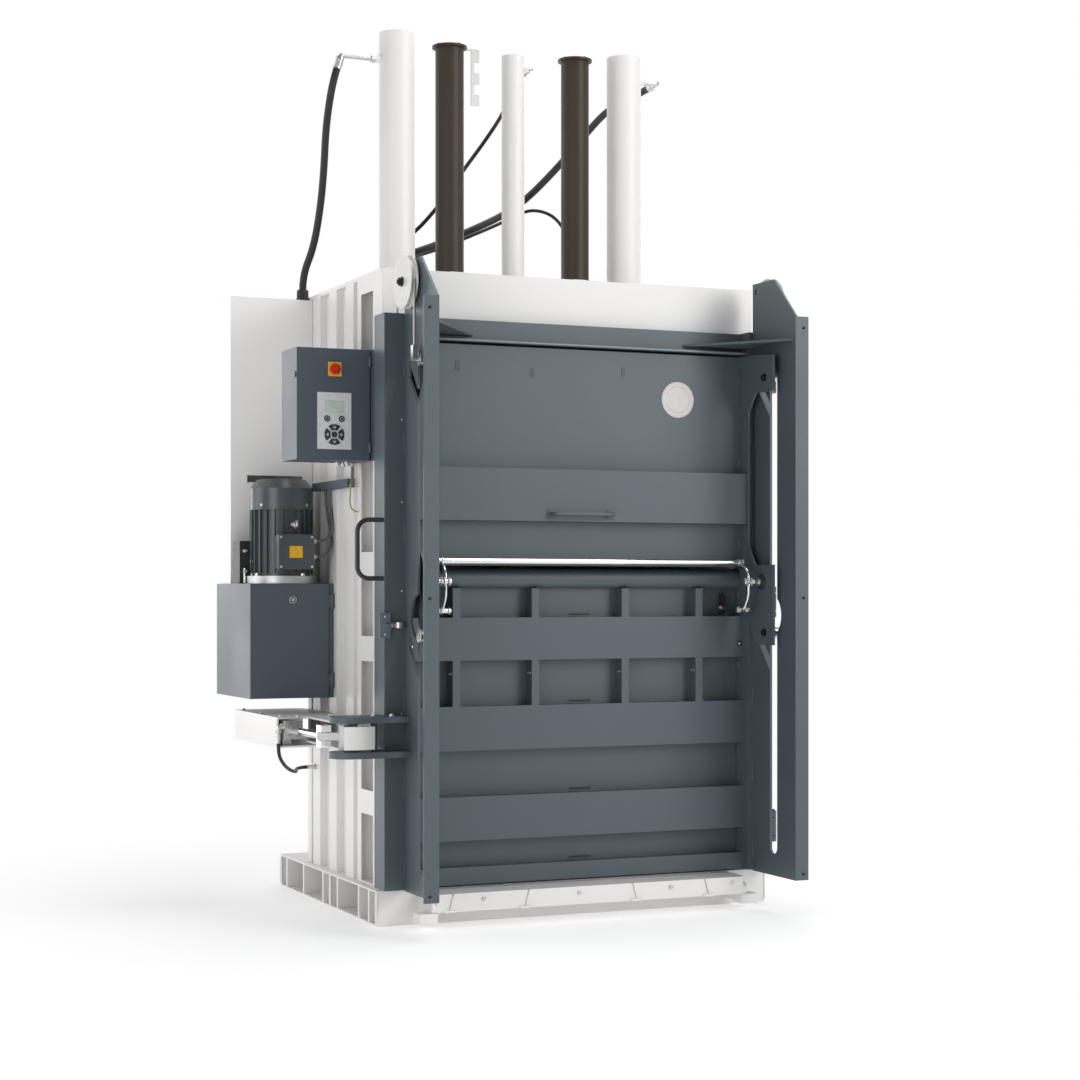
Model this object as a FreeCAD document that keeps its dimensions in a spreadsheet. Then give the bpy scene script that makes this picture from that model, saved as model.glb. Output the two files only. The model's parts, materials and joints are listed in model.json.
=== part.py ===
"""Vertical recycling baler, in millimetres.

X runs to the right, Y to the back and Z up. The origin is on the floor, under the middle of the base.
A steel press body stands on a base with fork pockets. A full-height front door carries a feed flap that
slides down in two cheeks, and three hydraulic cylinders drive a press platen down from the head.
"""
import FreeCAD, Part
import math
import os
import re

import Sketcher

SIZES = {
    "cutting": {"cut_over": 1},
    "base": {
        "base_overhang": 30, "base_depth": 1056, "base_height": 114, "base_plate": 6, "web_plate": 14,
        "fork_pocket": 206, "fork_spacing": 378, "fork_middle": -50, "end_cell": 58,
    },
    "front platform": {
        "platform_reach": 130, "platform_inset": 154, "platform_drop": 4, "platform_plate": 4,
        "lip_height": 58, "platform_arm": 14, "arm_nose": 24, "arm_bottom": 24, "arm_step": 2,
        "toe_inner": 5, "toe_outer": 55, "toe_bottom": 18, "toe_top": 51, "toe_depth": 60,
        "slot_width": 6, "slot_lean": 14, "slot_margin": 8, "slot_depth": 44,
        "slot_first": -494, "slot_second": -233, "slot_third": 136, "slot_fourth": 403,
        "guide_half": 20, "guide_reach": 9, "guide_height": 7,
        "bolt_radius": 8, "bolt_head": 5, "bolt_level": 90,
        "bolt_first": -389, "bolt_second": -57, "bolt_third": 278, "bolt_fourth": 507,
    },
    "walls": {
        "chamber_width": 1200, "chamber_depth": 774, "wall_front": 490, "body_top": 2090, "liner_plate": 6,
        "wall_depth": 74, "sheet_plate": 4, "column_depth": 240, "window_width": 120, "window_margin": 84,
        "ridge_start": 40, "ridge_width": 80, "ridge_pitch": 180, "ridge_depth": 24, "rear_column": 40,
        "rear_rib_width": 80, "rear_rib_depth": 50, "rear_rib_pitch": 290,
    },
    "wall windows": {
        "window_first_low": 119, "window_first_high": 340, "window_second_low": 419,
        "window_second_high": 839, "window_third_low": 921, "window_third_high": 1105,
        "window_fourth_low": 1195, "window_fourth_high": 2040,
    },
    "head": {
        "head_height": 142, "head_plate": 12, "head_beam": 20, "fascia_plate": 5, "head_rib": 14,
        "gate_margin": 6, "gate_half": 12,
    },
    "cylinders": {
        "cylinder_spacing": 872, "cylinder_line": 26, "cylinder_radius": 62, "cylinder_wall": 10,
        "cylinder_top": 2997, "cylinder_rise": 8, "rod_radius": 30, "centre_radius": 40.5, "centre_wall": 8,
        "centre_top": 2961, "centre_rod": 18, "end_wall": 25, "piston_height": 40, "piston_clearance": 2,
        "flange_step": 33, "flange_plate": 18, "running_gap": 0.1, "left_port_drop": 93,
        "right_port_drop": 77, "centre_port_drop": 36, "port_radius": 14, "centre_port_radius": 9,
        "port_length": 20,
    },
    "press ram": {
        "tube_spacing": 482, "tube_radius": 50, "tube_wall": 6, "tube_top": 2965, "cap_radius": 61,
        "cap_plate": 8, "platen_drop": 8, "platen_height": 60, "platen_plate": 20, "platen_gap": 10,
        "pocket_gap": 90, "bush_wall": 14, "bush_height": 18, "bush_gap": 0.3, "strip_width": 31,
        "strip_length": 190, "strip_plate": 4, "strip_step": 12, "strip_offset": 161, "strip_root": 20,
    },
    "front door": {
        "door_gap": 4, "door_overlap": 100, "post_width": 92, "post_depth": 96, "post_wall": 5,
        "post_top": 1946, "door_bottom": 121, "skin_plate": 6, "rib_reach": 50, "rib_plate": 5,
        "foot_rib": 56,
        "sill_height": 64, "sill_top": 1141, "stiffener_width": 27, "stiffener_inner": 163,
        "stiffener_outer": 440, "header_bottom": 1870, "header_top": 1944, "header_reach": 46,
        "lip_reach": 40, "lip_plate": 8, "gusset_plate": 8, "gusset_height": 1890, "gusset_width": 244,
        "gusset_reach": 270,
        "rib_first_low": 262, "rib_first_high": 404, "rib_second_low": 552, "rib_second_high": 695,
        "rib_third_low": 843, "rib_third_high": 982,
    },
    "door hinge": {
        "hinge_out": 22, "hinge_back": 46, "pin_radius": 12, "pin_gap": 0.1, "knuckle_radius": 20,
        "knuckle_height": 60, "lug_height": 20, "lug_gap": 2, "hinge_low": 260, "hinge_pitch": 770,
        "lug_start": 4, "lug_reach": 50, "strap_plate": 16,
    },
    "cheeks": {
        "cheek_step": 24, "cheek_plate": 8, "cheek_front": 876, "cheek_bottom": 118, "cheek_rise": 72,
        "cheek_shoulder": 732, "corner_drop": 68, "cheek_flange": 41, "slot_line": 731.5,
        "slot_bottom": 190, "slot_gap": 2, "branch_shift": 100, "branch_drop": 122,
        "branch_rise": 10, "hole_radius": 10, "hole_inset": 24, "hole_drop": 28, "reach_radius": 70,
        "reach_back": 19.5, "reach_rise": 57,
    },
    "feed flap": {
        "flap_margin": 10, "flap_gap": 5, "flap_plate": 4, "flap_bottom": 1150, "flap_top": 1862,
        "flap_rib_bottom": 1294, "flap_rib_top": 1464, "fold_height": 10, "fold_reach": 30, "side_plate": 8,
        "side_web": 65, "side_front": 787, "side_drop": 10, "side_corner": 20, "upper_lug": 119,
        "lug_top": 1851, "lug_root": 45, "lug_blend": 60, "lower_lug_top": 1155, "lower_lug_bottom": 888,
        "heel_depth": 40, "heel_rise": 150, "roller_radius": 22, "roller_width": 20, "roller_drop": 72,
        "roller_low": 930, "roller_bolt": 10, "bolt_tail": 8, "grip_radius": 7, "grip_width": 211,
        "grip_reach": 34, "grip_offset": -28, "grip_height": 1318, "grip_bend": 24,
    },
    "flap handle": {
        "bar_radius": 10, "bar_line": 655, "bar_height": 1163, "bar_end": 8, "lever_gap": 50,
        "lever_radius": 5,
        "lever_bend": 60, "lever_belly": 1135, "lever_knee": 1050, "pivot_line": 712, "pivot_height": 1098,
        "pivot_radius": 8, "pivot_head": 10, "catch_line": 680, "catch_height": 1005, "catch_radius": 8,
        "catch_half": 22,
    },
    "counterbalance": {
        "cable_run": 206, "pulley_pitch": 78, "pulley_rim": 84, "pulley_width": 24, "pulley_step": 28,
        "rim_plate": 3, "axle_radius": 12, "axle_end": 4, "cable_radius": 4, "weight_width": 60,
        "weight_depth": 68, "weight_height": 900, "weight_bottom": 150, "weight_gap": 3, "eye_height": 40,
        "cable_eye_half": 8,
    },
    "door lock": {
        "lock_reach": 131, "lock_y": 545, "lock_half": 37, "lock_height": 610, "lock_plate": 6,
        "claw_arm": 70, "claw_hub": 30, "claw_pin": 14, "claw_inner": 97, "claw_outer": 117,
        "claw_swing": 35, "claw_gap": 1, "claw_neck": 14, "neck_lap": 4, "wedge_depth": 200,
        "wedge_rise": 60, "wedge_reach": 110, "wedge_drop": 112, "arm_plate": 24, "arm_half": 15,
        "arm_end": 24, "arm_slot_long": 12, "arm_slot_wide": 7.5,
        "guard_plate": 20, "guard_gap": 2, "guard_radius": 60, "guard_nose": 15, "guard_root": 3,
        "catch_reach": 35, "catch_y": 590, "catch_pin": 10, "pin_seat": 1,
        "barrel_radius": 25, "barrel_wall": 6, "barrel_end": 20, "barrel_head": 60,
        "barrel_head_length": 40, "barrel_foot_half": 15, "barrel_foot_start": 40, "barrel_foot_end": 60,
        "barrel_seat": 3, "ram_rod": 12, "ram_start": 74, "ram_piston": 30,
        "clevis_width": 34, "clevis_length": 32, "clevis_nose": 14, "clevis_web": 8, "clevis_gap": 2,
        "clevis_pin": 6,
    },
    "lock console": {
        "console_width": 247, "console_front": 154, "console_back": 359, "console_height": 101,
        "console_bottom": 550, "console_plate": 6, "ear_start": 4, "ear_root": 12, "ear_side": 30,
        "ear_shoulder": 12, "ear_tip": 10, "ear_nose": 28, "ear_waist": 26, "ear_back": 60, "ear_end": 100,
        "web_thick": 8, "web_reach": 60, "web_lap": 2,
    },
    "door furniture": {
        "handle_reach": 92, "handle_top": 1300, "handle_drop": 200, "handle_tube": 7.5, "handle_bend": 42,
        "handle_inset": 15, "latch_top": 1000, "latch_height": 80, "latch_width": 36, "latch_plate": 8,
        "eye_bolt": 6, "eye_ring": 14, "eye_bore": 7, "eye_half": 9, "eye_length": 26, "eye_embed": 1,
    },
    "ejector plate": {
        "ejector_margin": 10, "ejector_thick": 8, "ejector_length": 710, "ejector_line": 470,
        "ejector_height": 131, "ejector_tube": 15, "ejector_pin": 8, "ejector_stub": 40,
    },
    "hoses and cables": {
        "hose_radius": 13, "thin_radius": 7, "link_radius": 6, "wire_radius": 5, "earth_radius": 2.5,
        "pipe_radius": 10, "thin_pipe": 6, "nut_step": 5, "thin_nut_step": 4, "stub_step": 4,
        "pipe_bend": 1.6, "lock_port_rise": 12,
    },
    "power pack": {
        "pack_width": 295, "pack_front": 0, "pack_back": 421, "pack_bottom": 705, "pack_top": 1093,
        "pack_wall": 4, "pack_flange": 20, "shaft_hole": 20, "cover_plate": 6, "cover_gap": 1,
        "cover_margin": 2, "cover_hinge": 8, "cover_level": 60, "cover_sleeve": 20, "cover_knuckle": 7,
        "cover_ear": 5, "cover_ear_half": 4, "cover_ear_eye": 6, "cover_pin": 3, "leaf_gap": 3,
        "dial_radius": 13, "dial_height": 3.7, "dial_gap": 0.3, "dial_drop": 55, "lock_barrel": 10,
        "lock_key_length": 12, "slit_half": 1, "slit_long": 6, "slit_depth": 2,
        "pump_width": 150, "pump_height": 240, "pump_floor": 40,
    },
    "motor": {
        "motor_reach": 148, "motor_y": 123, "motor_radius": 98, "motor_bottom": 1119, "flange_radius": 120,
        "stator_height": 225, "fin_count": 24, "fin_reach": 10, "fin_root": 6, "fin_plate": 4,
        "fin_start": 10, "cowl_height": 104, "cowl_plate": 3, "cowl_slope": 30, "cowl_step": 24,
        "cowl_hole": 14, "shaft_radius": 14, "shaft_gap": 0.3, "shaft_reach": 50, "shaft_start": 1,
        "fan_radius": 88, "fan_height": 24, "fan_rise": 20, "fan_hub": 30, "blade_root": 20,
        "blade_plate": 3, "blade_count": 7, "box_width": 118, "box_height": 112, "box_reach": 60,
        "box_rise": 24, "box_lid": 8, "box_margin": 3, "gland_length": 12, "gland_radius": 11,
        "gland_low": 64, "gland_high": 116, "box_gap": 1,
    },
    "valve cabinet": {
        "cabinet_width": 286, "cabinet_front": 274, "cabinet_back": 489, "cabinet_bottom": 1096,
        "cabinet_top": 2092, "cabinet_plate": 3, "vent_inset": 60, "vent_width": 200, "vent_height": 25,
        "vent_bottom": 1446,
    },
    "control box": {
        "control_gap": 6, "control_width": 250, "control_front": 404, "control_back": 239,
        "control_bottom": 1489, "control_top": 1847, "control_lid": 20, "control_bracket": 484,
        "lid_inset": 4, "lid_gap": 0.5, "lid_hinge": 5, "lid_level": 40, "lid_sleeve": 15, "lid_pin": 2,
        "hinge_gap": 1, "hinge_ear": 4, "hinge_ear_half": 3, "latch_reach": 6, "latch_radius": 9,
        "latch_under": 20, "switch_reach": 130, "switch_size": 46, "switch_z": 1780, "switch_plate": 4,
        "knob_gap": 0.3, "knob_radius": 14, "knob_rim": 3, "knob_length": 18, "knob_spindle": 5,
        "knob_wing": 5, "keypad_reach": 188, "keypad_width": 114, "keypad_bottom": 1523,
        "keypad_height": 182, "keypad_plate": 3, "tray_front": 221, "tray_back": 161, "tray_bottom": 1412,
        "tray_depth": 26, "tray_height": 28,
    },
}

ROUTES = {
    "left_hose": [
        (-645, 26, 2886), (-661, 26, 2838), (-671, 50, 2764), (-669, 105, 2660), (-659, 155, 2535),
        (-656, 205, 2408), (-666, 252, 2275), (-693, 294, 2182), (-693, 294, 2122),
    ],
    "right_hose": [
        (575, 58, 2920), (575, 112, 2920), (560, 166, 2908), (520, 213, 2886), (463, 238, 2849),
        (397, 240, 2778), (285, 240, 2645), (143, 240, 2500), (39, 230, 2429), (-108, 215, 2358),
        (-224, 200, 2305), (-301, 190, 2276), (-354, 183, 2254), (-394, 178, 2214), (-416, 175, 2161),
        (-416, 175, 2112),
    ],
    "centre_hose": [
        (74, 46, 2925), (74, 78, 2925), (72, 109, 2917), (65, 135, 2897), (53, 151, 2869), (33, 156, 2827),
        (7, 153, 2775), (-61, 150, 2676), (-134, 150, 2579), (-191, 150, 2496), (-244, 150, 2425),
        (-315, 150, 2345),
        (-389, 150, 2290), (-432, 150, 2238), (-455, 150, 2174), (-455, 150, 2112),
    ],
    "link_hose": [
        (-398, 215, 2112), (-398, 215, 2156), (-390, 216, 2200), (-362, 219, 2236), (-300, 224, 2262),
        (-214, 230, 2292), (-98, 240, 2343), (45, 252, 2408), (143, 244, 2462), (195, 224, 2461),
        (240, 208, 2440), (272, 198, 2400), (294, 191, 2348), (304, 188, 2285), (308, 187, 2200),
        (308, 187, 2112),
    ],
    "lock_hose": [
        (-922, -174, 600), (-922, -174, 560), (-912, -150, 520), (-880, -105, 487), (-840, -40, 465),
        (-800, 30, 453), (-775, 105, 450), (-757, 165, 451), (-738, 188, 453), (-710, 201, 454),
        (-682, 201, 454),
    ],
    "motor_cable": [
        (-751, -15, 1235), (-722, -15, 1235), (-697, -14, 1249), (-683, -11, 1275), (-681, 2, 1318),
        (-684, 14, 1359), (-685, 16, 1386), (-685, 16, 1412),
    ],
    "brake_cable": [
        (-751, -15, 1183), (-722, -15, 1183), (-697, -13, 1197), (-683, -6, 1223), (-681, 12, 1262),
        (-681, 36, 1312), (-684, 52, 1356), (-685, 56, 1384), (-685, 56, 1412),
    ],
    "control_cable": [
        (-710, -305, 1489), (-710, -305, 1459), (-706, -291, 1433), (-699, -266, 1418), (-692, -243, 1418),
        (-692, -221, 1418),
    ],
    "earth_wire": [
        (-696, -262, 1489), (-696, -262, 1454), (-702, -262, 1416), (-704, -262, 1380), (-704, -262, 1350),
        (-697, -262, 1336), (-685, -262, 1329), (-674, -262, 1329),
    ],
}
ARC_SHARE = 0.45
ORDINALS = ("first", "second", "third", "fourth")
WALL_WINDOWS = [(f"window_{nth}_low", f"window_{nth}_high") for nth in ORDINALS]
DOOR_RIBS = [(f"rib_{nth}_low", f"rib_{nth}_high") for nth in ORDINALS[:3]]
HINGES = 3
WALL_RIDGES = 3
REAR_RIBS = 4

WALL_IN = "(chamber_width / 2)"
WALL_OUT = "(chamber_width / 2 + wall_depth)"
WALL_FRONT = "-wall_front"
LINER_BACK = "(-wall_front + chamber_depth)"
WALL_BACK = "(-wall_front + chamber_depth + liner_plate)"
BASE_SIDE = f"({WALL_OUT} + base_overhang)"
PLATFORM_TOP = "(base_height - platform_drop)"
PLATFORM_SIDE = f"({BASE_SIDE} - platform_inset)"
PLATFORM_FRONT = "(-base_depth / 2 - platform_reach)"
HEAD_BOTTOM = "(body_top - head_height)"
HEAD_TOP = "(body_top + head_plate)"
PLATEN_TOP = f"({HEAD_BOTTOM} - platen_drop)"
PLATEN_BOTTOM = f"({PLATEN_TOP} - platen_height)"
DOOR_BACK = "(-wall_front - door_gap)"
SKIN_FRONT = f"({DOOR_BACK} - skin_plate)"
RIB_FRONT = f"({SKIN_FRONT} - rib_reach)"
POST_FRONT = f"({DOOR_BACK} - post_depth)"
POST_OUTER = f"({WALL_IN} + door_overlap)"
POST_INNER = f"({POST_OUTER} - post_width)"
HINGE_X = f"({POST_OUTER} + hinge_out)"
HINGE_Y = f"({DOOR_BACK} - hinge_back)"
FLAP_SIDE = f"({WALL_IN} - flap_margin)"
FLAP_BACK = f"({RIB_FRONT} - flap_gap)"
FLAP_FRONT = f"({FLAP_BACK} - flap_plate)"
FLAP_RIB = f"({FLAP_FRONT} - rib_reach)"
CHEEK_IN = f"({WALL_IN} + cheek_step)"
CHEEK_OUT = f"({CHEEK_IN} + cheek_plate)"
SLOT_HALF = "(roller_radius + slot_gap)"
PULLEY_X = f"({CHEEK_IN} + pulley_step)"
ROLLER_HIGH = "(flap_top - roller_drop)"
PULLEY_Z = f"({ROLLER_HIGH} + eye_height + cable_run)"
CHEEK_TOP = f"({PULLEY_Z} + cheek_rise)"
CHEEK_CORNER = f"({PULLEY_Z} - corner_drop)"
LEVER_X = f"({FLAP_SIDE} - lever_gap)"
LOCK_X = f"(-{WALL_OUT} - lock_reach)"
ARM_X = f"({LOCK_X} - claw_arm)"
CONSOLE_X = f"(-{WALL_OUT} - console_width)"
PACK_X = f"(-{WALL_OUT} - pack_width)"
MOTOR_X = f"(-{WALL_OUT} - motor_reach)"
CABINET_X = f"(-{WALL_OUT} - cabinet_width)"
CONTROL_RIGHT = f"(-{WALL_OUT} - control_gap)"
CONTROL_LEFT = f"({CONTROL_RIGHT} - control_width)"
SWITCH_X = f"(-{WALL_OUT} - switch_reach)"

doc = FreeCAD.newDocument("RecyclingBaler")
sheet = doc.addObject("Spreadsheet::Sheet", "Sizes")
row = 1
for section, sizes in SIZES.items():
    sheet.set(f"A{row}", section)
    for alias, value in sizes.items():
        row += 1
        sheet.set(f"B{row}", alias)
        sheet.set(f"C{row}", str(value))
        sheet.setAlias(f"C{row}", alias)
    row += 1
doc.recompute()

CELLS = {alias: f"Sizes.{alias}" for sizes in SIZES.values() for alias in sizes}
WORD = re.compile(r"[a-z]+(?:_[a-z]+)+")
NODES = {}


def keep(node, item):
    """Name a finished piece."""
    item.Label = node
    NODES[node] = item
    return item


def number(text):
    """The value of a size, or of an expression of sizes."""
    return float(sheet.evalExpression(formula(text)))


def formula(text):
    """An expression in which each size points at its cell in the sheet."""
    return WORD.sub(lambda found: CELLS.get(found.group(), found.group()), str(text))


def bind(item, **expressions):
    """Tie properties to expressions; two underscores in a name stand for a full stop."""
    for prop, text in expressions.items():
        item.setExpression(prop.replace("__", "."), formula(text))


def place(item, x, y, z):
    """Tie the place of a piece to three expressions."""
    bind(item, Placement__Base__x=x, Placement__Base__y=y, Placement__Base__z=z)


def block(name, x, y, z):
    """A rectangular block between low and high bounds along each axis."""
    item = doc.addObject("Part::Box", name)
    place(item, x[0], y[0], z[0])
    bind(item, Length=f"({x[1]}) - ({x[0]})", Width=f"({y[1]}) - ({y[0]})", Height=f"({z[1]}) - ({z[0]})")
    return item


TURNS = {
    "x": FreeCAD.Rotation(FreeCAD.Vector(0, 1, 0), 90),
    "y": FreeCAD.Rotation(FreeCAD.Vector(1, 0, 0), -90),
    "z": FreeCAD.Rotation(),
}


def rod(name, axis, centre, span, radius):
    """A cylinder along an axis; centre gives its two other coordinates in X, Y, Z order."""
    item = doc.addObject("Part::Cylinder", name)
    item.Placement = FreeCAD.Placement(FreeCAD.Vector(), TURNS[axis])
    start = list(centre)
    start.insert("xyz".index(axis), span[0])
    place(item, *start)
    bind(item, Radius=radius, Height=f"({span[1]}) - ({span[0]})")
    return item


def fuse(name, pieces):
    """One solid from several that meet."""
    item = doc.addObject("Part::MultiFuse", name)
    item.Shapes = list(pieces)
    item.Refine = True
    return item


def group(name, pieces):
    """Several separate solids kept together."""
    item = doc.addObject("Part::Compound", name)
    item.Links = list(pieces)
    return item


def turned_group(name, piece, direction, angle):
    """A piece turned about the upright axis, clockwise (-1) or the other way (1) as seen from above."""
    item = group(name, [piece])
    axis = FreeCAD.Vector(0, 0, direction)
    item.Placement = FreeCAD.Placement(FreeCAD.Vector(), FreeCAD.Rotation(axis, 1))
    item.setExpression("Placement.Rotation.Angle", formula(f"({angle}) * 1 deg"))
    return item


def cut(name, base, tools):
    """A piece with one or more tools taken out of it."""
    item = doc.addObject("Part::Cut", name)
    item.Base = base
    item.Tool = tools[0] if len(tools) == 1 else group(f"{name}_tools", tools)
    item.Refine = True
    return item


def common(name, first, second):
    """What two pieces share."""
    item = doc.addObject("Part::Common", name)
    item.Base = first
    item.Tool = second
    return item


def mirror(name, piece):
    """The same piece on the other side of the middle plane."""
    item = doc.addObject("Part::Mirroring", name)
    item.Source = piece
    item.Normal = FreeCAD.Vector(1, 0, 0)
    return item


def pipe(name, axis, centre, span, radius, bore):
    """A cylinder with a bore right through."""
    outer = rod(f"{name}_outer", axis, centre, span, radius)
    inner = rod(f"{name}_bore", axis, centre, (f"{span[0]} - 1", f"{span[1]} + 1"), bore)
    return cut(name, outer, [inner])


def shell(name, x, y, z, wall, open_face=None):
    """A hollow box; open_face such as 'y-' leaves out the wall on that side."""
    inner = []
    for axis, (low, high) in zip("xyz", (x, y, z)):
        near = f"{low} - 1" if open_face == axis + "-" else f"{low} + {wall}"
        far = f"{high} + 1" if open_face == axis + "+" else f"{high} - {wall}"
        inner.append((near, far))
    return cut(name, block(f"{name}_outer", x, y, z), [block(f"{name}_inner", *inner)])


def origin_plane(body, role):
    """One of a body's own origin planes."""
    return next(feature for feature in body.Origin.OriginFeatures if feature.Role == role)


def outlined(body, role, outline, name="Outline"):
    """A closed sketch of straight lines whose corners are tied to pairs of expressions."""
    sketch = body.newObject("Sketcher::SketchObject", name)
    sketch.AttachmentSupport = [(origin_plane(body, role), "")]
    sketch.MapMode = "FlatFace"
    count = len(outline)
    corners = [FreeCAD.Vector(10.0 * index, 7.0 * index * index, 0) for index in range(count)]
    for index in range(count):
        sketch.addGeometry(Part.LineSegment(corners[index], corners[(index + 1) % count]), False)
    for index in range(count):
        sketch.addConstraint(Sketcher.Constraint("Coincident", index, 2, (index + 1) % count, 1))
    for index, pair in enumerate(outline):
        for kind, text in zip(("DistanceX", "DistanceY"), pair):
            start = corners[index].x if kind == "DistanceX" else corners[index].y
            number_of = sketch.addConstraint(Sketcher.Constraint(kind, -1, 1, index, 1, start))
            sketch.setExpression(f"Constraints[{number_of}]", formula(text))
    return sketch


def plate(name, plane, outline, span):
    """A flat plate padded from its outline, from the low to the high bound across its plane."""
    role = {"xy": "XY_Plane", "xz": "XZ_Plane", "yz": "YZ_Plane"}[plane]
    body = doc.addObject("PartDesign::Body", name)
    sketch = outlined(body, role, outline)
    offset = f"-({span[1]})" if plane == "xz" else span[0]
    sketch.setExpression("AttachmentOffset.Base.z", formula(offset))
    pad = body.newObject("PartDesign::Pad", "Pad")
    pad.Profile = sketch
    bind(pad, Length=f"({span[1]}) - ({span[0]})")
    return body


def turned(name, axis, centre, profile):
    """A turned piece: its profile gives distances from the axis and along it from the centre."""
    body = doc.addObject("PartDesign::Body", name)
    sketch = outlined(body, "XZ_Plane", profile)
    revolution = body.newObject("PartDesign::Revolution", "Revolution")
    revolution.Profile = sketch
    revolution.ReferenceAxis = (sketch, ["V_Axis"])
    revolution.Angle = 360.0
    body.Placement = FreeCAD.Placement(FreeCAD.Vector(), TURNS[axis])
    place(body, *centre)
    return body


def sided(side, inner, outer):
    """Bounds from the middle outwards, on the left (-1) or the right (1)."""
    return (inner, outer) if side > 0 else (f"-({outer})", f"-({inner})")


def route_edges(points, bend=None):
    """Straight runs joined by tangent arcs, with the arcs' radii."""
    radii = []
    edges = []
    here = points[0]
    for index in range(1, len(points) - 1):
        corner = points[index]
        back = points[index - 1] - corner
        ahead = points[index + 1] - corner
        turn = math.pi - back.getAngle(ahead)
        reach = ARC_SHARE * min(back.Length, ahead.Length)
        if bend:
            reach = min(reach, bend * math.tan(turn / 2))
        radii.append(reach / math.tan(turn / 2))
        enter = corner + back.normalize() * reach
        leave = corner + ahead.normalize() * reach
        middle = (enter + leave) / 2
        sag = radii[-1] * (1 / math.cos(turn / 2) - 1)
        top = corner + (middle - corner).normalize() * sag
        edges.append(Part.LineSegment(here, enter).toShape())
        edges.append(Part.Arc(enter, top, leave).toShape())
        here = leave
    edges.append(Part.LineSegment(here, points[-1]).toShape())
    return edges, radii


def swept(points, radius, bend=None):
    """A round tube along a route."""
    edges, radii = route_edges(points, bend)
    path = Part.Wire(edges)
    direction = points[1] - points[0]
    section = Part.Wire([Part.Circle(points[0], direction, radius).toShape()])
    solid = path.makePipeShell([section], True, False)
    return solid, path.Length, radii


def cords(node, members):
    """Hoses or cables along their routes, each checked against its section times its length."""
    solids = []
    for name, radius_alias in members:
        radius = number(radius_alias)
        solid, length, radii = swept([FreeCAD.Vector(*point) for point in ROUTES[name]], radius)
        ratio = solid.Volume / (math.pi * radius ** 2 * length)
        bends = [round(value) for value in radii]
        print(f"{name}: length {length:.0f}, volume ratio {ratio:.4f}, radii", bends)
        solids.append(solid)
    item = doc.addObject("Part::Feature", node)
    item.Shape = solids[0] if len(solids) == 1 else Part.makeCompound(solids)
    item.Placement = FreeCAD.Placement()
    keep(node, item)


def bent_tube(name, route, radius, bend):
    """A rigid round bar or tube along corner points given as expressions."""
    points = [FreeCAD.Vector(*[number(text) for text in point]) for point in route]
    solid, _, _ = swept(points, number(radius), number(bend))
    item = doc.addObject("Part::Feature", name)
    item.Shape = solid
    item.Placement = FreeCAD.Placement()
    return item


def around(middle, half):
    """Bounds a half width to each side of a middle."""
    return (f"{middle} - {half}", f"{middle} + {half}")


def through(span):
    """Bounds that run past both ends of a span, for a tool that cuts right through."""
    return (f"{span[0]} - cut_over", f"{span[1]} + cut_over")


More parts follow.
